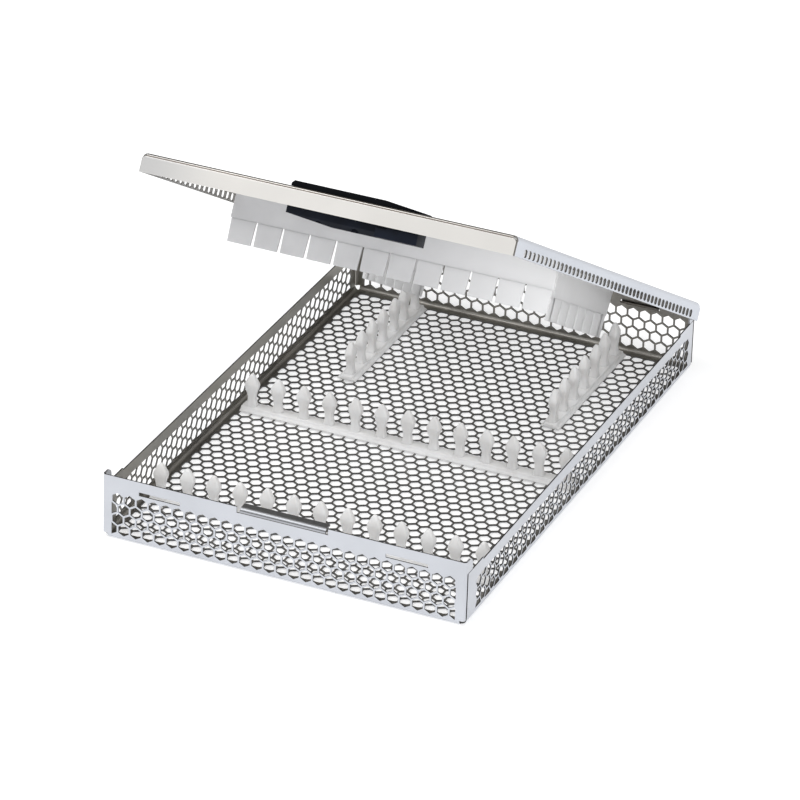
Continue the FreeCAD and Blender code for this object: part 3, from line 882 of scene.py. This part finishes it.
@dataclass
class PerforatedSheet:
    """Flat sheet with hexagonal holes, in millimetres.

    Args:
        web: the recipe of the web between the holes.
        thickness: of the sheet.
        finish: its surface.
        pitch: spacing of the holes.
        hole: their width across the flats.
        play: how far outside the window the centre of an open hole may lie.
    """

    web: WebRecipe
    thickness: float
    finish: Finish
    pitch: float = 6.2
    hole: float = 5.5
    play: float = 0.15

    def panel(self, low: Point, high: Point, field_low: Point, field_high: Point,
              anchor: Point = (0.0, 0.0), points_up: bool = True,
              patches: tuple[tuple[Point, Point], ...] = ()) -> bpy.types.Mesh:
        """Sheet in the XY plane with a window of holes cut straight at its edges.

        Args:
            low: lowest corner of the sheet.
            high: highest corner.
            field_low: lowest corner of the perforated window.
            field_high: highest corner.
            anchor: centre of one hole.
            points_up: True where a hole's corners point along Y.
            patches: further plain rectangles that belong to the sheet.

        Returns:
            The sheet, its lower face at Z 0 and its upper at the thickness.
        """
        work = bmesh.new()
        mesh = self.holes(field_low, field_high, anchor, points_up)
        work.from_mesh(mesh)
        bpy.data.meshes.remove(mesh)
        borders = [((low[0], low[1]), (high[0], field_low[1])),
                   ((low[0], field_high[1]), (high[0], high[1])),
                   ((low[0], field_low[1]), (field_low[0], field_high[1])),
                   ((field_high[0], field_low[1]), (high[0], field_high[1])), *patches]
        for start, end in borders:
            corners = [(start[0], start[1]), (end[0], start[1]), (end[0], end[1]), (start[0], end[1])]
            work.faces.new([work.verts.new((u * MM, v * MM, 0.0)) for u, v in corners])
        bmesh.ops.remove_doubles(work, verts=work.verts, dist=WELD)
        for face in work.faces:
            if face.normal.z < 0:
                face.normal_flip()
        flat = bpy.data.meshes.new("panel")
        work.to_mesh(flat)
        work.free()
        made = Maker.thickened(flat, self.thickness)
        # Hole walls and cut edges are marked for painted shade
        Maker.mark(made, PAINTED_SHADE, [1.0 if abs(face.normal.z) < 0.5 else 0.0 for face in made.polygons])
        return made

    def holes(self, low: Point, high: Point, anchor: Point, points_up: bool) -> bpy.types.Mesh:
        """Web of the perforated window; holes centred outside it are left closed.

        Args:
            low: lowest corner.
            high: highest corner.
            anchor: centre of one hole.
            points_up: True where a hole's corners point along Y.

        Returns:
            A flat mesh in metres.
        """
        step = self.pitch * math.sqrt(3) / 2
        along, across = (0, 1) if points_up else (1, 0)
        before_u = math.ceil((anchor[along] - low[along]) / self.pitch) + 1
        before_v = math.ceil((anchor[across] - low[across]) / step) + 1
        before_v += before_v % 2
        columns = before_u + math.ceil((high[along] - anchor[along]) / self.pitch) + 2
        rows = before_v + math.ceil((high[across] - anchor[across]) / step) + 2
        mesh = self.web.run({"Pitch": self.pitch * MM, "Hole": self.hole * MM, "Columns": columns,
                             "Rows": rows, "Finish": self.finish.material()})
        place = Matrix.Translation(Vector((*anchor, 0)) * MM)
        if not points_up:
            place = place @ Matrix(((0, 1, 0, 0), (1, 0, 0, 0), (0, 0, 1, 0), (0, 0, 0, 1)))
        start = Vector((-before_u * self.pitch, -before_v * step, 0)) * MM
        mesh.transform(place @ Matrix.Translation(start))
        work = bmesh.new()
        work.from_mesh(mesh)
        for row in range(rows):
            for column in range(columns):
                cell = ((column - before_u + row % 2 / 2) * self.pitch, (row - before_v) * step)
                centre = [anchor[axis] + cell[axis if points_up else 1 - axis] for axis in (0, 1)]
                if not all(start - self.play <= level <= end + self.play
                           for start, level, end in zip(low, centre, high)):
                    self.close_hole(work, centre, points_up)
        for corner, normal in ((low, (-1, 0)), (high, (1, 0)), (low, (0, -1)), (high, (0, 1))):
            bmesh.ops.bisect_plane(work, geom=work.verts[:] + work.edges[:] + work.faces[:],
                                   dist=WELD / 10, plane_co=Vector((*corner, 0)) * MM,
                                   plane_no=Vector((*normal, 0)), clear_outer=True)
        work.to_mesh(mesh)
        work.free()
        return mesh

    def close_hole(self, work: bmesh.types.BMesh, centre: list[float], points_up: bool) -> None:
        """Fill one hole of the web with a hexagon.

        Args:
            work: the web.
            centre: the hole's middle.
            points_up: True where a hole's corners point along Y.
        """
        radius, first = self.hole / math.sqrt(3), 90 if points_up else 0
        corners = []
        for corner in range(6):
            angle = math.radians(first + 60 * corner)
            corners.append(work.verts.new(((centre[0] + radius * math.cos(angle)) * MM,
                                           (centre[1] + radius * math.sin(angle)) * MM, 0.0)))
        work.faces.new(corners)


@dataclass
class Tray:
    """The folded tray, in millimetres.

    Args:
        web: the recipe of the web between the holes.
        rise: how much higher the side walls are near the corners, over rise_run.
        mesh_sheet: how thick the perforated sheets look, their outer faces in place.
        floor_field: half lengths of the floor's window; the walls' windows are from and to.
        side_hole: centre of one hole of a side wall, along Y and Z.
        end_row: height of a row of holes in the end walls.
        end_hole: width of the end walls' holes.
        lip_reflection_bands: height over the lip's root up to which each band reaches, and its painted
            shade; the bands are dark and bright painted reflections.
        heart: point inside the tray; faces that look at it get painted inner shade.
    """

    web: WebRecipe
    width: float = 183.0
    depth: float = 284.0
    wall: float = 33.1
    side: float = 25.2
    rise: float = 1.1
    rise_run: float = 20.0
    sheet: float = 0.9
    mesh_sheet: float = 0.65
    floor_bend: float = 2.5
    corner_bend: float = 1.6
    corner_seam: float = 1.2
    floor_field: Point = (87.8, 136.6)
    side_field_y: Point = (-129.6, 134.5)
    side_field_z: Point = (3.6, 19.6)
    side_hole: Point = (2.45, 10.2)
    end_field_x: float = 86.8
    end_field_z: Point = (2.55, 24.8)
    end_row: float = 21.7
    end_hole: float = 5.3
    slot_x: Point = (51.8, 72.8)
    slot_z: Point = (26.0, 27.9)
    lip_half: float = 21.5
    lip_relief: float = 1.5
    lip_relief_low: float = 30.05
    lip_bend: float = 2.5
    lip_top: float = 32.6
    lip_reach: float = 5.6
    # Each band's share of the dark cut tint, painted as dark and bright reflections up the lip
    lip_reflection_bands: tuple[Point, ...] = ((0.55, 1.0), (1.05, 0.25), (1.45, 0.9), (2.05, 0.35), (9.0, 0.74))
    heart: Triple = (0.0, 0.0, 14.0)

    def finished(self, name: str, meshes: list[bpy.types.Mesh], node: str,
                 place: Matrix | None = None, finish: Finish = SHEET) -> bpy.types.Object:
        """One finished sheet of the tray.

        Args:
            name: the piece's name.
            meshes: its meshes.
            node: the CAD node that it stands for.
            place: matrix applied to the mesh.
            finish: its surface.

        Returns:
            The piece.
        """
        return Maker.piece(name, meshes, Body.TRAY, finish, node, place,
                           heart=Vector(self.heart) * MM)

    def floor(self) -> bpy.types.Object:
        """Floor sheet with its fine mesh.

        Returns:
            The piece.
        """
        half_x, half_y = self.width / 2 - self.floor_bend, self.depth / 2 - self.floor_bend
        field_x, field_y = self.floor_field
        panel = PerforatedSheet(self.web, self.mesh_sheet, SHADED_FLOOR_SHEET).panel(
            (-half_x, -half_y), (half_x, half_y), (-field_x, -field_y), (field_x, field_y))
        panel.transform(Matrix.Translation((0, 0, (self.sheet - self.mesh_sheet) * MM)))
        return self.finished("tray_floor_sheet", [panel], "tray_floor", finish=SHADED_FLOOR_SHEET)

    def side_wall(self, right: bool) -> bpy.types.Object:
        """One side wall with its fine mesh and floor bend.

        Args:
            right: True for the right wall.

        Returns:
            The piece.
        """
        end = self.depth / 2 - self.corner_bend - self.corner_seam
        step = self.depth / 2 - self.rise_run
        sheet = PerforatedSheet(self.web, self.mesh_sheet, SHEET)
        top = self.side
        patches = (((-end, top), (-step, top + self.rise)), ((step, top), (end, top + self.rise)))
        low_y, high_y = self.side_field_y
        low_z, high_z = self.side_field_z
        panel = sheet.panel((-end, self.floor_bend), (end, top), (low_y, low_z), (high_y, high_z),
                            self.side_hole, False, patches)
        Maker.stand_up(panel, self.width / 2 - self.mesh_sheet, right)
        name, sign, start = ("right", 1.0, 270.0) if right else ("left", -1.0, 180.0)
        reach = self.depth / 2 - self.floor_bend
        bend = Maker.bend((sign * (self.width / 2 - self.floor_bend), self.floor_bend), start, 90,
                          self.floor_bend, self.sheet, -reach, reach, "XZY")
        return self.finished(f"{name}_wall_sheet", [panel, bend], f"{name}_wall")

    def end_wall(self, back: bool) -> bpy.types.Object:
        """One end wall with its mesh, hinge slots, bends and catch lip.

        Args:
            back: True for the back wall, the same pressing turned round.

        Returns:
            The piece.
        """
        flat, front = self.width / 2 - self.corner_bend, -self.depth / 2
        relief = self.lip_half + self.lip_relief
        (slot_near, slot_far), (slot_low, slot_high) = self.slot_x, self.slot_z
        lip_root = self.lip_top - self.lip_bend
        patches = [((-slot_near, slot_low), (slot_near, slot_high)),
                   ((-flat, slot_high), (flat, self.lip_relief_low)),
                   ((-self.lip_half, self.lip_relief_low), (self.lip_half, lip_root))]
        for start, end in ((-flat, -slot_far), (slot_far, flat)):
            patches.append(((start, slot_low), (end, slot_high)))
        for start, end in ((-flat, -relief), (relief, flat)):
            patches.append(((start, self.lip_relief_low), (end, self.wall)))
        sheet = PerforatedSheet(self.web, self.mesh_sheet, SHEET, hole=self.end_hole)
        low_z, high_z = self.end_field_z
        panel = sheet.panel((-flat, self.floor_bend), (flat, slot_low), (-self.end_field_x, low_z),
                            (self.end_field_x, high_z), (sheet.pitch / 2, self.end_row), True,
                            tuple(patches))
        panel.transform(Matrix(((1, 0, 0, 0), (0, 0, -1, (front + self.mesh_sheet) * MM), (0, 1, 0, 0),
                                (0, 0, 0, 1))))
        reach = self.width / 2 - self.floor_bend
        meshes = [panel, Maker.bend((front + self.floor_bend, self.floor_bend), 180, 90,
                                    self.floor_bend, self.sheet, -reach, reach, "YZX")]
        for side, start in ((1, 270), (-1, 180)):
            meshes.append(Maker.bend((side * flat, front + self.corner_bend), start, 90,
                                     self.corner_bend, self.sheet, self.floor_bend, self.wall, "XYZ"))
        meshes += self.catch_lip(front, lip_root)
        name = "back_wall" if back else "front_wall"
        turn = Matrix.Rotation(math.pi, 4, "Z") if back else None
        return self.finished(f"{name}_sheet", meshes, name, turn)

    def catch_lip(self, front: float, lip_root: float) -> list[bpy.types.Mesh]:
        """The lip folded inwards over the wall, with dark and bright bands painted on as reflections.

        Args:
            front: the wall's outer face, along Y.
            lip_root: height where the fold starts.

        Returns:
            The fold and the flat of the lip.
        """
        fold = Maker.bend((front + self.lip_bend, lip_root), 90, 90, self.lip_bend, self.sheet,
                          -self.lip_half, self.lip_half, "YZX")
        # Bands of painted reflection up the fold; the flat gets the last band's painted shade
        levels = [face.center.z / MM - lip_root for face in fold.polygons]
        Maker.mark(fold, PAINTED_SHADE, [next(shade for top, shade in self.lip_reflection_bands if level < top)
                               for level in levels])
        root, edge = front + self.lip_bend, front + self.lip_reach
        low, high = self.lip_top - self.sheet, self.lip_top
        flat = Maker.prism([(root, low), (edge, low), (edge, high), (root, high)],
                           -self.lip_half, self.lip_half, "YZX")
        Maker.mark(flat, PAINTED_SHADE, [self.lip_reflection_bands[-1][1]] * len(flat.polygons))
        return [fold, flat]

    def build(self) -> None:
        """The whole tray."""
        self.floor()
        for far_side in (True, False):
            self.side_wall(far_side)
            self.end_wall(far_side)
        CarriedNode("corner_ears", SHEET).dress()


@dataclass
class FingerBars:
    """The silicone bars with their spear-shaped fingers, in millimetres.

    Args:
        rows: the recipe of a row of copies.
        base_foot: height of the base's upright foot, and base_shoulder that of its slope.
        base_flare: how far the slope's top stands out past the base's top.
        end_reach: how far a bar reaches past its outer fingers.
        levels: height, width along the bar and thickness across it, up a finger.
        corner_share: share of the smaller width that rounds a finger's corners.
        lean: most that a finger leans, in degrees.
    """

    rows: RowRecipe
    base_low: float = 0.9
    base_foot: float = 0.7
    base_shoulder: float = 1.3
    base_high: float = 3.3
    base_width: float = 10.0
    base_top: float = 6.0
    base_flare: float = 0.4
    base_rounding: float = 0.35
    end_reach: float = 4.6
    levels: tuple[Triple, ...] = (
        (3.0, 5.8, 4.8), (4.0, 5.0, 4.3), (6.0, 4.2, 3.7), (8.0, 3.9, 3.5), (10.5, 4.9, 3.8),
        (13.0, 6.7, 4.3), (14.2, 7.2, 4.4), (15.4, 6.8, 4.3), (17.6, 4.6, 3.4), (19.4, 2.6, 2.3),
        (20.1, 1.5, 1.5), (20.3, 0.8, 0.8))
    corner_points: int = 4
    corner_share: float = 0.28
    lean: float = 1.2
    smooth: float = 40.0
    bars: tuple[Strip, ...] = (
        Strip("bar_front", 13, 13.7, (0.0, -99.5), False, SILICONE),
        Strip("bar_middle", 13, 13.7, (0.0, 0.0), False, SILICONE),
        Strip("bar_rear_left", 7, 13.0, (-54.0, 91.4), True, SILICONE),
        Strip("bar_rear_right", 7, 13.0, (54.0, 91.4), True, SILICONE))

    def ring(self, level: float, width: float, thickness: float) -> list[Triple]:
        """Rounded rectangle round a finger.

        Args:
            level: its height.
            width: along the bar.
            thickness: across the bar.

        Returns:
            The ring's points.
        """
        radius = min(width, thickness) * self.corner_share
        ring = []
        for quarter, (side_x, side_y) in enumerate(((1, 1), (-1, 1), (-1, -1), (1, -1))):
            for step in range(self.corner_points):
                angle = math.radians(90 * quarter + 90 * step / (self.corner_points - 1))
                ring.append((side_x * (width / 2 - radius) + radius * math.cos(angle),
                             side_y * (thickness / 2 - radius) + radius * math.sin(angle), level))
        return ring

    def base(self, half: float) -> bpy.types.Mesh:
        """The rail that a bar's fingers stand on.

        Args:
            half: half its length.

        Returns:
            The rail, along X.
        """
        wide, top, flare = self.base_width / 2, self.base_top / 2, self.base_top / 2 + self.base_flare
        foot, shoulder = self.base_low + self.base_foot, self.base_low + self.base_shoulder
        right = [(wide, self.base_low), (wide, foot), (flare, shoulder), (top, self.base_high)]
        left = [(-across, level) for across, level in reversed(right)]
        outline = [left[-1], *right, *left[:-1]]
        return Maker.bevelled(Maker.prism(outline, -half, half, "YZX"), self.base_rounding)

    def bar(self, plan: Strip) -> bpy.types.Object:
        """One bar with its row of fingers.

        Args:
            plan: the bar's plan.

        Returns:
            The piece.
        """
        finger = Maker.loft([self.ring(*level) for level in self.levels])
        fingers = self.rows.row(finger, plan.count, plan.pitch, plan.finish, self.lean, plan.count)
        base = self.base((plan.count - 1) * plan.pitch / 2 + self.end_reach)
        return Maker.piece(f"{plan.node}_silicone", [fingers, base], Body.TRAY, plan.finish, plan.node,
                           plan.place(), self.smooth)

    def build(self) -> None:
        """All four bars."""
        for plan in self.bars:
            self.bar(plan)


@dataclass
class Lid:
    """The folded lid and its comb strips, in closed coordinates and millimetres.

    Args:
        web: the recipe of the web between the holes.
        rows: the recipe of a row of copies.
        field_x: half width of the panel's window; field_y is from and to.
        flange_field_y: window of the side flanges' holes, flange_field_z over their lower edge.
        crease: height where a comb's web turns into flaps, and bottom where they end.
        tuck: how far the flaps reach up into the web.
        slit: width of a slit at its lower end, half of it at its upper.
        seat: play between a comb and the lid.
        bend_reflection_bands: rise of the front flange's normal up to which each band reaches, and its
            painted shade; the bands are a painted highlight and painted reflections on the bend.
        heart_height: height of the point under the lid; faces that look at it get painted inner shade.
    """

    web: WebRecipe
    rows: RowRecipe
    half_width: float = 92.8
    front: float = -143.3
    back: float = 144.15
    underside: float = 34.0
    sheet: float = 0.8
    bend: float = 2.4
    front_bend: float = 1.4
    flange_bottom: float = 25.8
    flange_rounding: float = 0.15
    seam: float = 0.25
    field_x: float = 86.8
    field_y: Point = (-123.0, 138.0)
    flange_field_y: Point = (-131.4, 134.6)
    flange_field_z: Point = (0.7, 4.5)
    flange_pitch: float = 5.86
    flange_hole: float = 4.1
    slot_x: Point = (-25.85, 19.55)
    slot_y: Point = (-135.3, -130.6)
    crease: float = 18.2
    bottom: float = 6.8
    tuck: float = 0.4
    web_half: float = 1.2
    web_rounding: float = 0.25
    flap_half: float = 0.65
    flap_rounding: float = 0.2
    slit: float = 1.7
    seat: float = 0.05
    # Bands painted on the flange's bend: a brownish painted reflection where it starts, a painted highlight
    # strip, then a dark painted reflection at the top
    bend_reflection_bands: tuple[Point, ...] = ((0.03, 0.0), (0.42, 0.9), (0.65, 0.15), (2.0, 0.95))
    stud_half: float = 4.0
    stud_height: float = 1.5
    stud_rounding: float = 0.4
    stud_sides: int = 24
    smooth: float = 40.0
    heart_height: float = 18.0
    combs: tuple[Strip, ...] = (
        Strip("comb_front", 12, 13.7, (0.0, -48.5), False, SHADED_FRONT_FLAP, studs=(1.5, 4.5)),
        Strip("comb_rear_left", 6, 13.0, (-48.0, 91.4), True, FLAP, (2.0,), margin=3.0, slant=2.6),
        Strip("comb_rear_right", 6, 13.0, (48.0, 91.4), True, FLAP, (2.0,), margin=3.0, slant=2.6))

    @property
    def top(self) -> float:
        """Height of the lid's outer face."""
        return self.underside + self.sheet

    @property
    def heart(self) -> Vector:
        """Point under the opened lid that its inner faces look at, in metres."""
        return HINGE.opened() @ (Vector((0.0, 0.0, self.heart_height)) * MM)

    def panel(self) -> bpy.types.Object:
        """Lid sheet with its fine mesh and the lock's slot.

        Returns:
            The piece.
        """
        half, front = self.half_width - self.bend, self.front + self.front_bend
        (slot_left, slot_right), (slot_front, slot_back) = self.slot_x, self.slot_y
        patches = (((-half, slot_front), (slot_left, slot_back)),
                   ((slot_right, slot_front), (half, slot_back)),
                   ((-half, front), (half, slot_front)))
        panel = PerforatedSheet(self.web, self.sheet, LID_SHEET).panel(
            (-half, slot_back), (half, self.back - self.bend), (-self.field_x, self.field_y[0]),
            (self.field_x, self.field_y[1]), patches=patches)
        panel.transform(Matrix.Translation((0, 0, self.underside * MM)))
        return Maker.piece("lid_sheet", [panel], Body.LID, LID_SHEET, "lid_panel", HINGE.opened(),
                           heart=self.heart)

    def side_flange(self, right: bool) -> bpy.types.Object:
        """One side flange with its row of holes and its bend.

        Args:
            right: True for the right flange.

        Returns:
            The piece.
        """
        start, end = self.front + self.sheet + self.seam, self.back - self.sheet - self.seam
        shoulder = self.top - self.bend
        low, high = (self.flange_bottom + level for level in self.flange_field_z)
        first, last = self.flange_field_y
        panel = PerforatedSheet(self.web, self.sheet, LID_SHEET, self.flange_pitch, self.flange_hole).panel(
            (start, self.flange_bottom), (end, shoulder), (first, low), (last, high),
            (first + self.flange_pitch / 2, (low + high) / 2))
        Maker.stand_up(panel, self.half_width - self.sheet, right)
        name, sign, angle = ("right", 1.0, 0.0) if right else ("left", -1.0, 90.0)
        bend = Maker.bend((sign * (self.half_width - self.bend), shoulder), angle, 90, self.bend,
                          self.sheet, self.front + self.front_bend + self.seam,
                          self.back - self.bend, "XZY")
        return Maker.piece(f"lid_{name}_flange_sheet", [panel, bend], Body.LID, LID_SHEET,
                           f"lid_{name}_flange", HINGE.opened(), heart=self.heart)

    def front_flange(self) -> bpy.types.Object:
        """Front flange painted bright as a reflection, with its edges broken and painted highlight and
        reflection bands on its bend.

        Returns:
            The piece.
        """
        mesh = Maker.bevelled(Maker.node_copy("lid_front_flange"), self.flange_rounding, 1)
        closed = HINGE.opened().inverted().to_3x3()
        shades = []
        for face in mesh.polygons:
            # Only the bend between the flange and the lid gets the painted highlight and reflection bands,
            # not the back or the ends
            normal = closed @ face.normal
            forward = normal.y < 0.1 and abs(normal.x) < 0.5
            rise = normal.z if forward else 0.0
            shades.append(next(shade for top, shade in self.bend_reflection_bands if rise < top))
        Maker.mark(mesh, PAINTED_SHADE, shades)
        return Maker.piece("lid_front_flange_sheet", [mesh], Body.LID, FRONT_FLANGE, "lid_front_flange")

    def flap(self, left: float, right: float, left_root: float, right_root: float) -> bpy.types.Mesh:
        """One flap of a comb strip, hanging from the underside at Z 0.

        Args:
            left: lower corner's place along the strip.
            right: the other lower corner's.
            left_root: upper corner's place along the strip.
            right_root: the other upper corner's.

        Returns:
            A new mesh.
        """
        bottom, root = self.bottom - self.underside, self.crease - self.underside + self.tuck
        outline = [(left, bottom), (right, bottom), (right_root, root), (left_root, root)]
        return Maker.bevelled(Maker.prism(outline, -self.flap_half, self.flap_half), self.flap_rounding)

    def comb_web(self, plan: Strip, reach: float) -> list[bpy.types.Mesh]:
        """A comb strip's web, and the tabs below it at both ends.

        Args:
            plan: the strip's plan.
            reach: half its length.

        Returns:
            The meshes.
        """
        crease, depth = self.crease - self.underside, self.underside - self.bottom
        low, high = (reach + plan.slant * (level + depth) / depth for level in (crease, 0.0))
        outline = [(-reach, crease), (low, crease), (high, -self.seat), (-reach, -self.seat)]
        meshes = [Maker.bevelled(Maker.prism(outline, -self.web_half, self.web_half), self.web_rounding)]
        if plan.margin:
            inner = reach - plan.margin
            start = inner - self.slit
            meshes.append(self.flap(-start, -reach, -start, -reach))
            meshes.append(self.flap(start, reach, start, reach + plan.slant / 2))
        return meshes

    def stud(self, offset: float) -> bpy.types.Mesh:
        """Head of one stud on top of the lid.

        Args:
            offset: its place along the strip.

        Returns:
            A new mesh.
        """
        angles = [math.radians(360 / self.stud_sides * step) for step in range(self.stud_sides)]
        ring = [(offset + self.stud_half * math.cos(angle), self.stud_half * math.sin(angle))
                for angle in angles]
        base = self.sheet + self.seat
        return Maker.bevelled(Maker.prism(ring, base, base + self.stud_height, "XYZ"), self.stud_rounding)

    def comb(self, plan: Strip) -> bpy.types.Object:
        """One comb strip with its flaps and studs.

        Args:
            plan: the strip's plan.

        Returns:
            The piece.
        """
        half, reach = plan.pitch / 2, plan.count * plan.pitch / 2 + plan.margin
        foot, root = half - self.slit / 2, half - self.slit / 4
        flap = self.flap(-foot, foot, -root, root)
        meshes = [self.rows.row(flap, plan.count, plan.pitch, plan.finish), *self.comb_web(plan, reach)]
        meshes += [self.stud(side * stud * plan.pitch) for stud in plan.studs for side in (-1, 1)]
        return Maker.piece(f"{plan.node}_silicone", meshes, Body.LID, plan.finish, plan.node,
                           HINGE.opened() @ plan.place(self.underside), self.smooth)

    def build(self) -> None:
        """The whole lid."""
        self.panel()
        self.side_flange(True)
        self.side_flange(False)
        self.front_flange()
        for plan in self.combs:
            self.comb(plan)
        CarriedNode("lid_rear_flange", LID_SHEET).dress()
        CarriedNode("hinge_hooks", SHADED_HOOK).dress()


@dataclass
class Lock:
    """The sliding lock, in millimetres."""

    rounding: float = 0.45
    rounding_steps: int = 3

    def build(self) -> None:
        """Slider, thumb bar and screws."""
        for node, finish in (("lock_slider", PLASTIC), ("lock_grip", GRIP)):
            mesh = Maker.bevelled(Maker.node_copy(node), self.rounding, self.rounding_steps)
            Maker.piece(f"{node}_plastic", [mesh], Body.LOCK, finish, node)
        CarriedNode("lock_screws", SCREW).dress()


@dataclass(frozen=True)
class Lamp:
    """Soft square lamp.

    Args:
        name: its name.
        place: where it hangs, in metres.
        side: its side in metres.
        power: in watts.
    """

    name: str
    place: Triple
    side: float
    power: float

    def hang(self, aim: Triple) -> None:
        """Put the lamp in the scene.

        Args:
            aim: point that it faces, in metres.
        """
        data = bpy.data.lights.new(self.name, "AREA")
        data.shape, data.size, data.energy = "SQUARE", self.side, self.power
        lamp = bpy.data.objects.new(self.name, data)
        lamp.location = self.place
        lamp.rotation_mode = "QUATERNION"
        lamp.rotation_quaternion = (Vector(aim) - Vector(self.place)).to_track_quat("-Z", "Y")
        bpy.context.scene.collection.objects.link(lamp)


@dataclass
class Studio:
    """Camera, lights and floor.

    Args:
        target: point that the camera faces, in millimetres.
        azimuth: turn of the camera from the front to the right, in degrees.
        elevation: its height over the floor, in degrees.
        distance: from the target, in millimetres.
        roll: its turn about its own axis, in degrees.
        lens: focal length in millimetres, on a sensor of the given width.
        drop: how far the floor lies under the tray, in millimetres.
        bright_side: direction of the brighter half of the surroundings.
        fade: share of that direction at which the light is all dim and all bright.
    """

    target: Triple = (10.595, -35.23, 45.627)
    azimuth: float = 23.166
    elevation: float = 28.22
    distance: float = 2525.74
    roll: float = 1.914
    lens: float = 242.17
    sensor: float = 36.0
    clip: Point = (0.1, 20.0)
    drop: float = 0.15
    floor_half: float = 6.0
    floor_colour: Triple = (0.84, 0.84, 0.84)
    floor_glow: float = 0.42
    bright_side: Triple = (0.32, -0.80, 0.45)
    fade: Point = (-0.45, 0.35)
    dim_light: Triple = (0.20, 0.19, 0.175)
    bright_light: Triple = (0.90, 0.905, 0.915)
    lamps: tuple[Lamp, ...] = (
        Lamp("key", (-0.9, -0.5, 1.5), side=1.1, power=9.0),
        Lamp("fill", (1.3, -1.1, 0.9), side=1.0, power=5.0))
    aim: Triple = (0.0, 0.0, 0.05)

    def camera(self) -> None:
        """Camera at the photograph's angle."""
        azimuth, elevation, roll = (math.radians(v) for v in (self.azimuth, self.elevation, self.roll))
        back = Vector((math.sin(azimuth) * math.cos(elevation),
                       -math.cos(azimuth) * math.cos(elevation), math.sin(elevation)))
        level = Vector((math.cos(azimuth), math.sin(azimuth), 0.0))
        right = level * math.cos(roll) + back.cross(level) * math.sin(roll)
        data = bpy.data.cameras.new("camera")
        data.sensor_width = self.sensor
        data.lens = self.lens
        data.clip_start, data.clip_end = self.clip
        camera = bpy.data.objects.new("camera", data)
        turn = Matrix((right, back.cross(right), back)).transposed().to_4x4()
        camera.matrix_world = Matrix.Translation((Vector(self.target) + back * self.distance) * MM) @ turn
        bpy.context.scene.collection.objects.link(camera)
        bpy.context.scene.camera = camera

    def floor(self) -> None:
        """Plain pale floor that stays white to the camera and keeps the shadow."""
        work = bmesh.new()
        bmesh.ops.create_grid(work, x_segments=8, y_segments=8, size=self.floor_half)
        mesh = bpy.data.meshes.new("floor")
        work.to_mesh(mesh)
        work.free()
        mesh.transform(Matrix.Translation((0, 0, -self.drop * MM)))
        made = bpy.data.materials.new("white floor")
        made.use_nodes = True
        made.node_tree.nodes.clear()
        nodes = NodeMaker(made.node_tree)
        path = nodes.add("ShaderNodeLightPath")
        seen = (Value(nodes, path.outputs["Is Camera Ray"]) + path.outputs["Is Glossy Ray"]
                + path.outputs["Is Transmission Ray"])
        matte = nodes.add("ShaderNodeBsdfDiffuse", None, {"Color": (*self.floor_colour, 1)})
        glow = nodes.add("ShaderNodeEmission", None,
                         {"Color": (1, 1, 1, 1), "Strength": self.floor_glow * seen})
        both = nodes.add("ShaderNodeAddShader", None, {0: matte.outputs[0], 1: glow.outputs[0]})
        nodes.add("ShaderNodeOutputMaterial", None, {"Surface": both.outputs[0]})
        mesh.materials.append(made)
        Maker.linked("floor", mesh)

    def world(self) -> None:
        """White to the camera; for light a bright front and a dimmer, warmer back."""
        world = bpy.data.worlds.new("surroundings")
        world.use_nodes = True
        world.node_tree.nodes.clear()
        nodes = NodeMaker(world.node_tree)
        way = nodes.add("ShaderNodeTexCoord").outputs["Generated"]
        facing = nodes.add("ShaderNodeVectorMath", {"operation": "DOT_PRODUCT"},
                           {0: way, 1: self.bright_side})
        bright = Value(nodes, facing.outputs["Value"]).ramp(*self.fade)
        tint = nodes.mix(bright, self.dim_light, self.bright_light)
        lit = nodes.add("ShaderNodeBackground", None, {"Color": tint, "Strength": 1.0})
        plain = nodes.add("ShaderNodeBackground", None, {"Color": (1, 1, 1, 1), "Strength": 1.0})
        path = nodes.add("ShaderNodeLightPath")
        both = nodes.add("ShaderNodeMixShader", None, {
            0: path.outputs["Is Camera Ray"], 1: lit.outputs[0], 2: plain.outputs[0]})
        nodes.add("ShaderNodeOutputWorld", None, {"Surface": both.outputs[0]})
        bpy.context.scene.world = world

    def build(self) -> None:
        """The whole studio."""
        self.camera()
        self.floor()
        self.world()
        for lamp in self.lamps:
            lamp.hang(self.aim)
        bpy.context.scene.view_settings.view_transform = "Standard"


def main() -> None:
    """Build every sub-assembly in order."""
    logging.basicConfig(level=logging.INFO)
    web, rows = WebRecipe(), RowRecipe()
    Tray(web).build()
    FingerBars(rows).build()
    Lid(web, rows).build()
    Lock().build()
    Studio().build()


if __name__ == "__main__":
    main()
